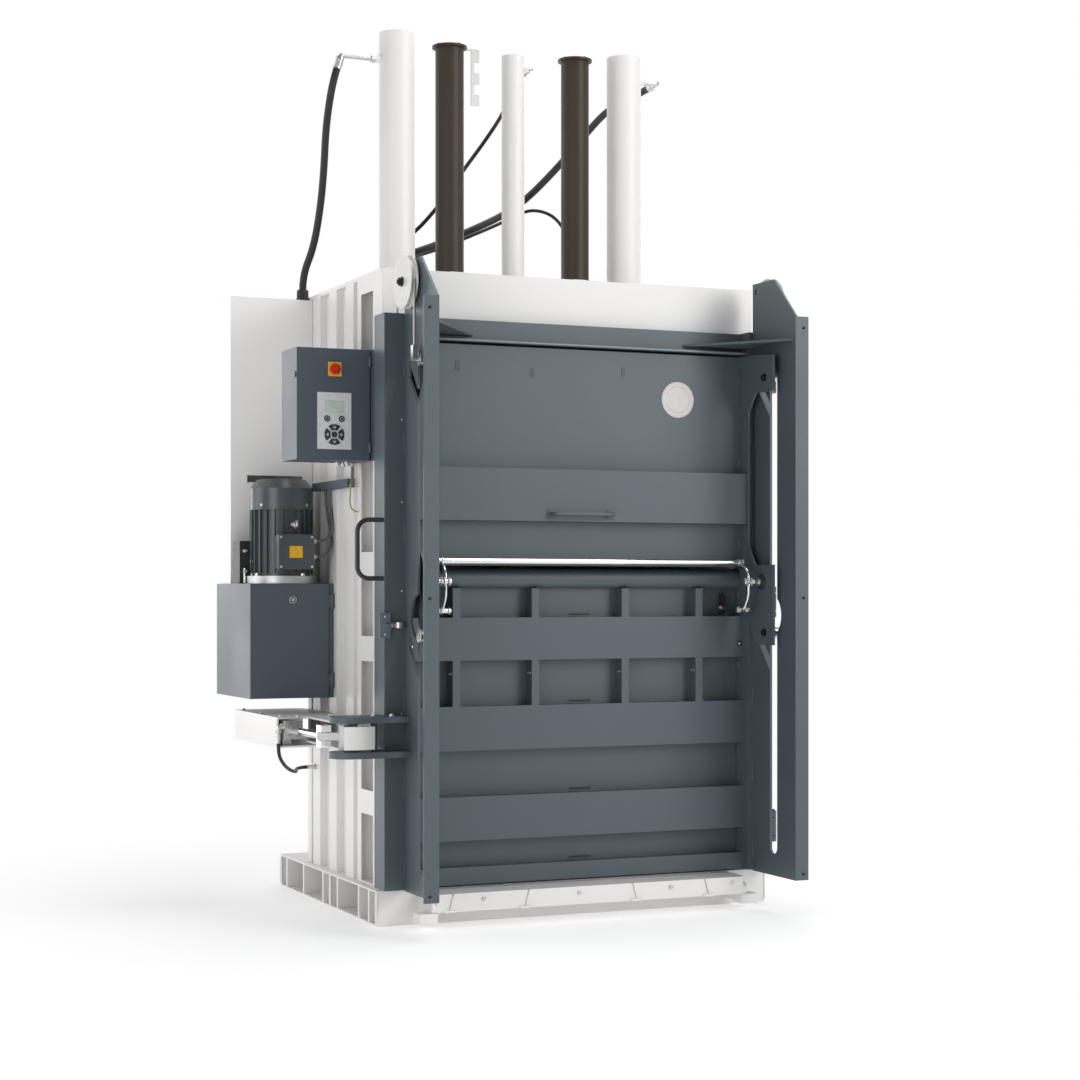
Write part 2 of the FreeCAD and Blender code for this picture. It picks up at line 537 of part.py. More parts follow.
def build_base():
    """The base with its fork pockets, and the white platform in front of it."""
    back = "base_depth / 2"
    wide = (f"-{BASE_SIDE}", BASE_SIDE)
    pieces = [
        block("base_top", wide, (f"-{back}", back), ("base_height - base_plate", "base_height")),
        block("base_floor", wide, (f"-{back}", back), ("0", "base_plate")),
    ]
    webs = [f"-{back} + web_plate / 2", f"{back} - web_plate / 2", "fork_middle"]
    webs += [f"-{back} + end_cell + web_plate * 1.5", f"{back} - end_cell - web_plate * 1.5"]
    for side in ("-", "+"):
        for edge in ("-", "+"):
            webs.append(f"fork_middle {side} fork_spacing / 2 {edge} (fork_pocket + web_plate) / 2")
    for line in webs:
        pieces.append(block("base_web", wide, around(line, "web_plate / 2"), ("0", "base_height")))
    keep("base_frame", fuse("base", pieces))

    along = (f"-{PLATFORM_SIDE}", PLATFORM_SIDE)
    lip_low = f"({PLATFORM_TOP} - lip_height)"
    lip_back = f"{PLATFORM_FRONT} + platform_plate"
    pieces = [
        block(
            "deck", along, (PLATFORM_FRONT, f"-{back}"), (f"{PLATFORM_TOP} - platform_plate", PLATFORM_TOP),
        ),
        block("lip", along, (PLATFORM_FRONT, lip_back), (lip_low, PLATFORM_TOP)),
    ]
    for side in (-1, 1):
        across = sided(side, PLATFORM_SIDE, f"{PLATFORM_SIDE} + platform_arm")
        nose_at = f"{PLATFORM_FRONT} + arm_nose"
        upright = ("arm_bottom", f"{PLATFORM_TOP} - arm_step")
        pieces.append(block("arm", across, (nose_at, f"-{back}"), upright))
        nose_level = f"(arm_bottom + {PLATFORM_TOP}) / 2"
        pieces.append(rod("arm_nose_disc", "x", (nose_at, nose_level), across, "arm_nose"))
        toe = sided(side, f"{PLATFORM_SIDE} - toe_inner", f"{PLATFORM_SIDE} + toe_outer")
        deep = (PLATFORM_FRONT, f"{PLATFORM_FRONT} + toe_depth")
        pieces.append(block("toe", toe, deep, ("toe_bottom", "toe_top")))
    slots = []
    for nth, lean in zip(ORDINALS, (-1, -1, 1, 1)):
        line = f"slot_{nth}"
        pieces.append(block(
            "strap_guide", around(f"({line} + slot_lean * {lean})", "guide_half"),
            (f"{PLATFORM_FRONT} - guide_reach", PLATFORM_FRONT), (lip_low, f"{lip_low} + guide_height"),
        ))
        head = around(line, "slot_width / 2")
        foot = around(f"({line} + slot_lean * {lean})", "slot_width / 2")
        high = f"({PLATFORM_TOP} + cut_over)"
        low = f"({lip_low} + slot_margin)"
        outline = [(head[0], high), (head[1], high), (foot[1], low), (foot[0], low)]
        slots.append(plate("lip_slot", "xz", outline, through((PLATFORM_FRONT, lip_back))))
        slots.append(block(
            "deck_slot", head, (PLATFORM_FRONT, f"{PLATFORM_FRONT} + slot_depth"),
            through((f"{PLATFORM_TOP} - platform_plate", PLATFORM_TOP)),
        ))
    keep("platform_lip", cut("platform_slotted", fuse("platform", pieces), slots))
    bolts = []
    head = (f"{PLATFORM_FRONT} - bolt_head", PLATFORM_FRONT)
    for nth in ORDINALS:
        bolts.append(rod("lip_bolt", "y", (f"bolt_{nth}", "bolt_level"), head, "bolt_radius"))
    keep("body_bolts", group("bolts", bolts))


def build_walls():
    """Side walls with front columns and pressed ridges, and the rear wall."""
    height = ("base_height", "body_top")
    inner_face = f"{WALL_IN} + liner_plate"
    column_back = "(-wall_front + column_depth)"
    column_hollow = block(
        "column_hollow", (inner_face, f"{WALL_OUT} - sheet_plate"),
        (f"{WALL_FRONT} + sheet_plate", f"{column_back} - sheet_plate"),
        ("base_height + sheet_plate", "body_top - sheet_plate"),
    )
    windows = []
    window_at = f"({WALL_FRONT} + window_margin)"
    for span in WALL_WINDOWS:
        windows.append(block(
            "window", through((f"{WALL_OUT} - sheet_plate", WALL_OUT)),
            (window_at, f"{window_at} + window_width"), span,
        ))
    column = block("column", (inner_face, WALL_OUT), (WALL_FRONT, column_back), height)
    sheet_out = f"({WALL_OUT} - ridge_depth)"
    between = (inner_face, sheet_out)
    pieces = [
        block("liner", (WALL_IN, inner_face), (WALL_FRONT, WALL_BACK), height),
        cut("column_open", column, [column_hollow] + windows),
        block("sheet", (f"{sheet_out} - sheet_plate", sheet_out), (column_back, WALL_BACK), height),
        block("back_edge", between, (f"{WALL_BACK} - sheet_plate", WALL_BACK), height),
        block("top_edge", between, (column_back, WALL_BACK), ("body_top - sheet_plate", "body_top")),
    ]
    ridges = []
    for index in range(WALL_RIDGES):
        start = f"({column_back} + ridge_start + ridge_pitch * {index})"
        ridges.append((start, f"{start} + ridge_width"))
    ridges.append((f"{WALL_BACK} - rear_column", WALL_BACK))
    for span in ridges:
        pieces.append(shell("ridge", (sheet_out, WALL_OUT), span, height, "sheet_plate", "x-"))
    stub = (f"{WALL_IN} - ejector_stub", WALL_IN)
    pieces.append(rod("ejector_stub_pin", "x", ("-ejector_line", "ejector_height"), stub, "ejector_pin"))
    right = keep("right_wall", fuse("wall", pieces))
    keep("left_wall", mirror("wall_mirrored", right))

    pieces = [block("rear_sheet", (f"-{WALL_IN}", WALL_IN), (LINER_BACK, WALL_BACK), height)]
    deep = (WALL_BACK, f"{WALL_BACK} + rear_rib_depth")
    for index in range(REAR_RIBS):
        middle = f"rear_rib_pitch * {index - (REAR_RIBS - 1) / 2}"
        across = around(middle, "rear_rib_width / 2")
        pieces.append(shell("rear_rib", across, deep, height, "sheet_plate", "y-"))
    keep("rear_wall", fuse("rear", pieces))


def stations():
    """The five uprights in the head: name, X, outer radius."""
    return (
        ("left_cylinder", "-cylinder_spacing / 2", "cylinder_radius"),
        ("right_cylinder", "cylinder_spacing / 2", "cylinder_radius"),
        ("centre_cylinder", "0", "centre_radius"),
        ("left_tube", "-tube_spacing / 2", "tube_radius"),
        ("right_tube", "tube_spacing / 2", "tube_radius"),
    )


def build_head():
    """The head frame with its bores and guide bushes, and the bare white fascia."""
    inside = (f"-{WALL_IN}", WALL_IN)
    full = (f"-{WALL_OUT}", WALL_OUT)
    deep = (HEAD_BOTTOM, "body_top")
    pieces = [
        block("head_deck", full, (WALL_FRONT, WALL_BACK), ("body_top", HEAD_TOP)),
        block("head_front", inside, (WALL_FRONT, f"{WALL_FRONT} + head_beam"), deep),
        block("head_back", inside, (f"{LINER_BACK} - head_beam", LINER_BACK), deep),
    ]
    for side in (-1, 1):
        for edge in ("-", "+"):
            line = f"({side} * cylinder_spacing / 2 {edge} (cylinder_radius + head_rib * 1.5))"
            across = around(line, "head_rib / 2")
            pieces.append(block("head_rib_plate", across, (WALL_FRONT, LINER_BACK), deep))
    bores = []
    bush = (HEAD_TOP, f"{HEAD_TOP} + bush_height")
    for name, x, radius in stations():
        middle = (x, "cylinder_line")
        if name.endswith("tube"):
            pieces.append(rod("bush", "z", middle, bush, f"{radius} + bush_wall"))
        bores.append(rod("head_bore", "z", middle, through(("body_top", bush[1])), f"{radius} + bush_gap"))
    strip = ("-strip_offset - gate_margin", "-strip_offset + strip_width + gate_margin")
    gate = around("cylinder_line", "gate_half")
    bores.append(block("strip_gate", strip, gate, through(("body_top", HEAD_TOP))))
    keep("head_frame", cut("head_bored", fuse("head", pieces), bores))
    fascia = (f"{WALL_FRONT} - fascia_plate", WALL_FRONT)
    keep("header_fascia", block("fascia", full, fascia, (HEAD_BOTTOM, HEAD_TOP)))


def build_cylinders():
    """Three hydraulic cylinders with flanges and ports, and the rods and pistons inside them."""
    rods = []
    bottom = f"({HEAD_BOTTOM} + cylinder_rise)"
    for name, x, radius in stations()[:3]:
        if name == "centre_cylinder":
            top, wall, thick, port_radius = "centre_top", "centre_wall", "centre_rod", "centre_port_radius"
        else:
            top, wall, thick, port_radius = "cylinder_top", "cylinder_wall", "rod_radius", "port_radius"
        middle = (x, "cylinder_line")
        barrel = rod("barrel", "z", middle, (bottom, top), radius)
        flange = rod(
            "flange", "z", middle, (HEAD_TOP, f"{HEAD_TOP} + flange_plate"), f"{radius} + flange_step",
        )
        reach = f"({radius} + port_length)"
        out = (f"{x} - {reach}", x) if name == "left_cylinder" else (x, f"{x} + {reach}")
        level = f"({top} - {name.replace('cylinder', 'port_drop')})"
        port = rod("port", "x", ("cylinder_line", level), out, port_radius)
        bore = rod("bore", "z", middle, (f"{bottom} + end_wall", f"{top} - end_wall"), f"{radius} - {wall}")
        gland = rod(
            "gland", "z", middle, through((bottom, f"{bottom} + end_wall")), f"{thick} + running_gap",
        )
        keep(name, cut(f"{name}_bored", fuse(f"{name}_outside", [barrel, flange, port]), [bore, gland]))
        piston_top = f"({top} - end_wall - piston_clearance)"
        piston_span = (f"{piston_top} - piston_height", piston_top)
        piston = rod("piston", "z", middle, piston_span, f"{radius} - {wall} - running_gap")
        stem = rod("stem", "z", middle, (PLATEN_TOP, f"{piston_top} - cut_over"), thick)
        rods.append(fuse(f"{name}_rod", [stem, piston]))
    keep("piston_rods", group("rods", rods))


def build_ram():
    """The press platen, the brown guide tubes, their caps and the stepped switch strip."""
    inside = (f"-{WALL_IN} + platen_gap", f"{WALL_IN} - platen_gap")
    deep = (f"{WALL_FRONT} + platen_gap", f"{LINER_BACK} - platen_gap")
    solid = block("platen", inside, deep, (PLATEN_BOTTOM, PLATEN_TOP))
    pockets = []
    halves = (
        (f"{deep[0]} + platen_plate", "cylinder_line - pocket_gap"),
        ("cylinder_line + pocket_gap", f"{deep[1]} - platen_plate"),
    )
    for span in halves:
        for side in (-1, 1):
            across = sided(side, "platen_plate / 2", f"{WALL_IN} - platen_gap - platen_plate")
            up = (f"{PLATEN_BOTTOM} + platen_plate", f"{PLATEN_TOP} + cut_over")
            pockets.append(block("pocket", across, span, up))
    keep("press_platen", cut("platen_pocketed", solid, pockets))
    tubes = []
    caps = []
    cap_top = "tube_top + cap_plate"
    for name, x, radius in stations()[3:]:
        middle = (x, "cylinder_line")
        tubes.append(pipe(name, "z", middle, (PLATEN_TOP, "tube_top"), radius, f"{radius} - tube_wall"))
        caps.append(rod(f"{name}_cap", "z", middle, ("tube_top", cap_top), "cap_radius"))
    keep("guide_tubes", group("tubes", tubes))
    left = "-strip_offset"
    right = "(-strip_offset + strip_width)"
    step = f"{left} + strip_step"
    root = "-tube_spacing / 2 + strip_root"
    levels = [f"tube_top - strip_length + strip_length / 5 * {index}" for index in range(5)]
    outline = [
        (left, levels[0]), (right, levels[0]), (right, levels[1]), (step, levels[1]), (step, levels[2]),
        (right, levels[2]), (right, levels[3]), (step, levels[3]), (step, levels[4]), (right, levels[4]),
        (right, cap_top), (root, cap_top), (root, "tube_top + cut_over"), (left, "tube_top + cut_over"),
    ]
    strip = plate("strip", "xz", outline, around("cylinder_line", "strip_plate / 2"))
    keep("tube_caps", group("caps", [fuse("left_cap_strip", [caps[0], strip]), caps[1]]))


def hinge_levels():
    """The low and high ends of the door's knuckles."""
    spans = []
    for index in range(HINGES):
        spans.append(around(f"(hinge_low + hinge_pitch * {index})", "knuckle_height / 2"))
    return spans


def build_door_frame():
    """The two posts, the right one with its hinge knuckles, and the header beam with its gussets."""
    for side, name in ((-1, "left_post"), (1, "right_post")):
        across = sided(side, POST_INNER, POST_OUTER)
        post = shell(
            "post", across, (POST_FRONT, DOOR_BACK), ("door_bottom", "post_top"), "post_wall", "z+",
        )
        if side > 0:
            pieces = [post]
            for span in hinge_levels():
                web = (POST_OUTER, HINGE_X)
                pieces.append(block("hinge_web", web, around(HINGE_Y, "pin_radius"), span))
                pieces.append(rod("knuckle", "z", (HINGE_X, HINGE_Y), span, "knuckle_radius"))
            bore = rod(
                "hinge_bore", "z", (HINGE_X, HINGE_Y), ("door_bottom", "post_top"), "pin_radius + pin_gap",
            )
            post = cut("hinged_post", fuse("post_knuckled", pieces), [bore])
        keep(name, post)
    inside = (f"-{POST_INNER}", POST_INNER)
    reach = f"({DOOR_BACK} - header_reach)"
    beam = shell("header_box", inside, (reach, DOOR_BACK), ("header_bottom", "header_top"), "rib_plate")
    lip = ("header_bottom", "header_bottom + lip_plate")
    pieces = [beam, block("header_lip", inside, (f"{reach} - lip_reach", reach), lip)]
    for side in (-1, 1):
        outline = [
            (f"{side} * ({CHEEK_IN} - gusset_width)", reach), (f"{side} * {POST_INNER}", reach),
            (f"{side} * {POST_INNER}", POST_FRONT), (f"{side} * {CHEEK_IN}", POST_FRONT),
            (f"{side} * {CHEEK_IN}", f"{POST_FRONT} - gusset_reach"),
        ]
        pieces.append(plate("gusset", "xy", outline, ("gusset_height", "gusset_height + gusset_plate")))
    keep("door_header", fuse("header", pieces))


def build_door_hinges():
    """The wall-side lugs and pins that carry the door."""
    brackets = []
    arm_back = f"{WALL_FRONT} + lug_reach"
    seat = (f"{WALL_FRONT} + lug_start", arm_back)
    for low, high in hinge_levels():
        whole = (f"{low} - lug_gap - lug_height", f"{high} + lug_gap + lug_height")
        pieces = []
        for span in ((whole[0], f"{low} - lug_gap"), (f"{high} + lug_gap", whole[1])):
            pieces.append(rod("lug", "z", (HINGE_X, HINGE_Y), span, "knuckle_radius"))
            pieces.append(block("lug_arm", around(HINGE_X, "knuckle_radius"), (HINGE_Y, arm_back), span))
            pieces.append(block("lug_foot", (WALL_OUT, HINGE_X), seat, span))
        pieces.append(block("strap", (WALL_OUT, f"{WALL_OUT} + strap_plate"), seat, whole))
        pieces.append(rod("hinge_pin", "z", (HINGE_X, HINGE_Y), whole, "pin_radius"))
        brackets.append(fuse("hinge_bracket", pieces))
    keep("hinge_brackets", group("hinge_set", brackets))


def build_door_panel():
    """The lower door: skin, pressed ribs, stiffeners and the rounded sill."""
    inside = (f"-{POST_INNER}", POST_INNER)
    pieces = [block("skin", inside, (SKIN_FRONT, DOOR_BACK), ("door_bottom", "sill_top"))]
    for band in [("door_bottom", "door_bottom + foot_rib")] + DOOR_RIBS:
        pieces.append(shell("rib", inside, (RIB_FRONT, SKIN_FRONT), band, "rib_plate", "y+"))
    half = "sill_height / 2"
    nose = f"{RIB_FRONT} + {half}"
    level = ("sill_top - sill_height", "sill_top")
    tube = rod("sill_tube", "x", (nose, f"sill_top - {half}"), inside, half)
    pieces.append(common("sill_nose", tube, block("sill_front", inside, (RIB_FRONT, nose), level)))
    pieces.append(block("sill_block", inside, (nose, SKIN_FRONT), level))
    for span in ((DOOR_RIBS[1][1], DOOR_RIBS[2][0]), (DOOR_RIBS[2][1], level[0])):
        for side in (-1, 1):
            for line in ("stiffener_inner", "stiffener_outer"):
                across = around(f"{side} * {line}", "stiffener_width / 2")
                pieces.append(block("stiffener", across, (RIB_FRONT, SKIN_FRONT), span))
    keep("door_panel", fuse("door", pieces))


def build_cheeks():
    """The two slotted cheeks that guide the feed flap, with the pulley axles."""
    skin = (CHEEK_IN, CHEEK_OUT)
    across = through(skin)
    outline = [
        (POST_FRONT, "cheek_bottom"), (POST_FRONT, CHEEK_TOP), ("-cheek_shoulder", CHEEK_TOP),
        ("-cheek_front", CHEEK_CORNER), ("-cheek_front", "cheek_bottom"),
    ]
    fold = (CHEEK_OUT, f"{CHEEK_OUT} + cheek_flange")
    axle = (CHEEK_OUT, f"{PULLEY_X} + pulley_width / 2 + axle_end")
    pieces = [
        plate("cheek_web", "yz", outline, skin),
        block(
            "cheek_fold", fold, ("-cheek_front", "-cheek_front + cheek_plate"),
            ("cheek_bottom", CHEEK_CORNER),
        ),
        rod("pulley_axle", "x", ("-slot_line + pulley_pitch", PULLEY_Z), axle, "axle_radius"),
    ]
    low = f"(slot_bottom + {SLOT_HALF})"
    high = ROLLER_HIGH
    tools = [block("slot_run", across, around("-slot_line", SLOT_HALF), (low, high))]
    for level in (low, high):
        tools.append(rod("slot_end", "x", ("-slot_line", level), across, SLOT_HALF))
    for top in (high, "(roller_low + branch_rise)"):
        outline = [
            ("-slot_line + branch_shift", top), ("-slot_line", f"{top} - branch_drop"),
            ("-slot_line", f"{top} - branch_drop - {SLOT_HALF} * 2"),
            ("-slot_line + branch_shift", f"{top} - {SLOT_HALF} * 2"),
        ]
        tools.append(plate("branch", "yz", outline, across))
    reach_at = ("-slot_line + reach_back", "roller_low + reach_rise")
    tools.append(rod("reach_hole", "x", reach_at, across, "reach_radius"))
    corner = (f"{POST_FRONT} - hole_inset", f"{CHEEK_TOP} - hole_drop")
    tools.append(rod("top_hole", "x", corner, across, "hole_radius"))
    right = keep("right_cheek", cut("cheek", fuse("cheek_folded", pieces), tools))
    keep("left_cheek", mirror("cheek_mirrored", right))


def build_flap():
    """The feed flap, its C-shaped side plates and its guide rollers."""
    wide = (f"-{FLAP_SIDE}", FLAP_SIDE)
    fold = ("flap_bottom", "flap_bottom + fold_height")
    legs = ("grip_offset - grip_width / 2", "grip_offset + grip_width / 2")
    reach = f"{FLAP_RIB} - grip_reach"
    corners = ((legs[0], FLAP_RIB), (legs[0], reach), (legs[1], reach), (legs[1], FLAP_RIB))
    route = [(x, y, "grip_height") for x, y in corners]
    pieces = [
        block("flap_sheet", wide, (FLAP_FRONT, FLAP_BACK), ("flap_bottom", "flap_top")),
        shell(
            "flap_rib", wide, (FLAP_RIB, FLAP_FRONT), ("flap_rib_bottom", "flap_rib_top"), "rib_plate",
            "y+",
        ),
        block("flap_fold", wide, (f"{FLAP_FRONT} - fold_reach", FLAP_FRONT), fold),
        bent_tube("grip", route, "grip_radius", "grip_bend"),
    ]
    keep("flap_panel", fuse("flap", pieces))

    web = f"({FLAP_BACK} - side_web)"
    upper = "(lug_top - upper_lug)"
    outline = [
        (FLAP_BACK, "flap_bottom - side_drop"), (FLAP_BACK, "flap_top"),
        (f"{web} - side_corner", "flap_top"), ("-side_front", "lug_top"),
        ("-side_front", upper), (f"{web} - lug_root", upper),
        (web, f"{upper} - lug_blend"), (web, "lower_lug_top + lug_blend"),
        (f"{web} - lug_root", "lower_lug_top"), ("-side_front", "lower_lug_top"),
        ("-side_front", "lower_lug_bottom"), (f"{web} - lug_root", "lower_lug_bottom"),
        (f"{FLAP_BACK} - heel_depth", "lower_lug_bottom + heel_rise"),
    ]
    skin = (FLAP_SIDE, f"{FLAP_SIDE} + side_plate")
    blank = plate("side_blank", "yz", outline, skin)
    hole = rod("pivot_hole", "x", ("-pivot_line", "pivot_height"), through(skin), "pivot_radius + pin_gap")
    right = keep("right_flap_side", cut("side", blank, [hole]))
    keep("left_flap_side", mirror("side_mirrored", right))

    rollers = []
    tread = around(f"({CHEEK_IN} + cheek_plate / 2)", "roller_width / 2")
    for side in (-1, 1):
        for level in (ROLLER_HIGH, "roller_low"):
            at = ("-slot_line", level)
            upper = level == ROLLER_HIGH
            tip = f"{PULLEY_X} + bolt_tail" if upper else f"{CHEEK_OUT} + bolt_tail"
            parts = [
                rod("bolt", "x", at, sided(side, skin[1], tip), "roller_bolt"),
                rod("roller", "x", at, sided(side, *tread), "roller_radius"),
            ]
            if upper:
                eye = sided(side, *around(PULLEY_X, "cable_eye_half"))
                deep = around("-slot_line", "roller_bolt")
                parts.append(block("cable_eye", eye, deep, (level, f"{level} + eye_height")))
            rollers.append(fuse("roller_set", parts))
    keep("flap_rollers", group("rollers", rollers))


def build_handle_bar():
    """The bright bar across the flap with its bent end rods, pivots and catch pins."""
    end = f"({LEVER_X} + bar_end)"
    pieces = [rod("bar", "x", ("-bar_line", "bar_height"), (f"-{end}", end), "bar_radius")]
    bends = (
        ("-bar_line", "bar_height"), ("-pivot_line", "lever_belly"), ("-pivot_line", "lever_knee"),
        ("-catch_line", "catch_height"),
    )
    for side in (-1, 1):
        route = [(f"{side} * {LEVER_X}", y, z) for y, z in bends]
        pivot = sided(side, f"{LEVER_X} - pivot_head", f"{FLAP_SIDE} + side_plate")
        catch = around(f"{side} * {LEVER_X}", "catch_half")
        pieces.append(bent_tube("lever", route, "lever_radius", "lever_bend"))
        pieces.append(rod("pivot", "x", ("-pivot_line", "pivot_height"), pivot, "pivot_radius"))
        pieces.append(rod("catch", "x", ("-catch_line", "catch_height"), catch, "catch_radius"))
    keep("handle_bar", fuse("bar_levers", pieces))


def build_counterbalance():
    """Pulleys on the cheeks, weights inside the posts and the lift cables."""
    half = "pulley_width / 2"
    bore = "axle_radius + pin_gap"
    groove = "pulley_pitch - cable_radius"
    profile = [
        (bore, f"-{half}"), ("pulley_rim", f"-{half}"), ("pulley_rim", f"-{half} + rim_plate"),
        (groove, "-cable_radius"), (groove, "cable_radius"), ("pulley_rim", f"{half} - rim_plate"),
        ("pulley_rim", half), (bore, half),
    ]
    pulleys = []
    weights = []
    fronts = []
    backs = []
    rear = "(-slot_line + pulley_pitch * 2)"
    weight_front = f"({rear} - cable_radius - weight_gap)"
    weight_top = "weight_bottom + weight_height"
    for side in (-1, 1):
        middle = f"{side} * {PULLEY_X}"
        centre = (middle, "-slot_line + pulley_pitch", PULLEY_Z)
        pulleys.append(turned("pulley", "x", centre, profile))
        weights.append(block(
            "weight", around(middle, "weight_width / 2"), (weight_front, f"{weight_front} + weight_depth"),
            ("weight_bottom", weight_top),
        ))
        front = (f"{ROLLER_HIGH} + eye_height", PULLEY_Z)
        fronts.append(rod("front_cable", "z", (middle, "-slot_line"), front, "cable_radius"))
        backs.append(rod("back_cable", "z", (middle, rear), (weight_top, PULLEY_Z), "cable_radius"))
    keep("lift_pulleys", group("pulley_pair", pulleys))
    keep("counterweights", group("weight_pair", weights))
    keep("lift_cables", group("front_cables", fronts))
    keep("return_cables", group("back_cables", backs))


def build_door_furniture():
    """The D-handle, the small latch bracket and the guard plates with their lock pin."""
    outer = f"-{POST_OUTER}"
    line = f"{POST_FRONT} + handle_inset"
    reach = f"{outer} - handle_reach + handle_tube"
    high = "handle_top - handle_tube"
    low = "handle_top - handle_drop + handle_tube"
    route = [(outer, line, high), (reach, line, high), (reach, line, low), (outer, line, low)]
    keep("door_handle", bent_tube("handle", route, "handle_tube", "handle_bend"))

    front = (f"{POST_FRONT} - latch_plate", POST_FRONT)
    wide = around(outer, "latch_width / 2")
    bracket = block("latch_plate_block", wide, front, ("latch_top - latch_height", "latch_top"))
    level = "(latch_top - latch_height / 2)"
    eye_x = f"({wide[1]} + eye_length)"
    eye_y = f"({front[0]} - eye_bolt / 2)"
    bolt = rod("eyebolt", "x", (eye_y, level), (outer, eye_x), "eye_bolt")
    ring_at = (eye_x, f"{POST_FRONT} - eye_ring - eye_embed")
    ring = rod("eye_ring_disc", "z", ring_at, around(level, "eye_half"), "eye_ring")
    hole = rod("eye_hole", "z", ring_at, around(level, "eye_ring"), "eye_bore")
    keep("eyebolt_bracket", cut("latch", fuse("latch_whole", [bracket, bolt, ring]), [hole]))

    inner = "(lock_half + lock_plate + guard_gap)"
    outside = f"({inner} + guard_plate)"
    pin = around("lock_height", f"({inner} + pin_seat)")
    pieces = [rod("lock_pin", "z", (f"{outer} - catch_reach", "-catch_y"), pin, "catch_pin")]
    nose = f"({LOCK_X} - guard_nose)"
    deep = around("-catch_y", "guard_radius")
    for span in (
        (f"lock_height + {inner}", f"lock_height + {outside}"),
        (f"lock_height - {outside}", f"lock_height - {inner}"),
    ):
        root = (f"{outer} - guard_root", f"-{CHEEK_OUT}")
        pieces.append(rod("guard_nose_disc", "z", (nose, "-catch_y"), span, "guard_radius"))
        pieces.append(block("guard_wing", (nose, f"{outer} - guard_gap"), deep, span))
        pieces.append(block("guard_root_block", root, (deep[0], POST_FRONT), span))
    keep("lock_plates", fuse("guards", pieces))


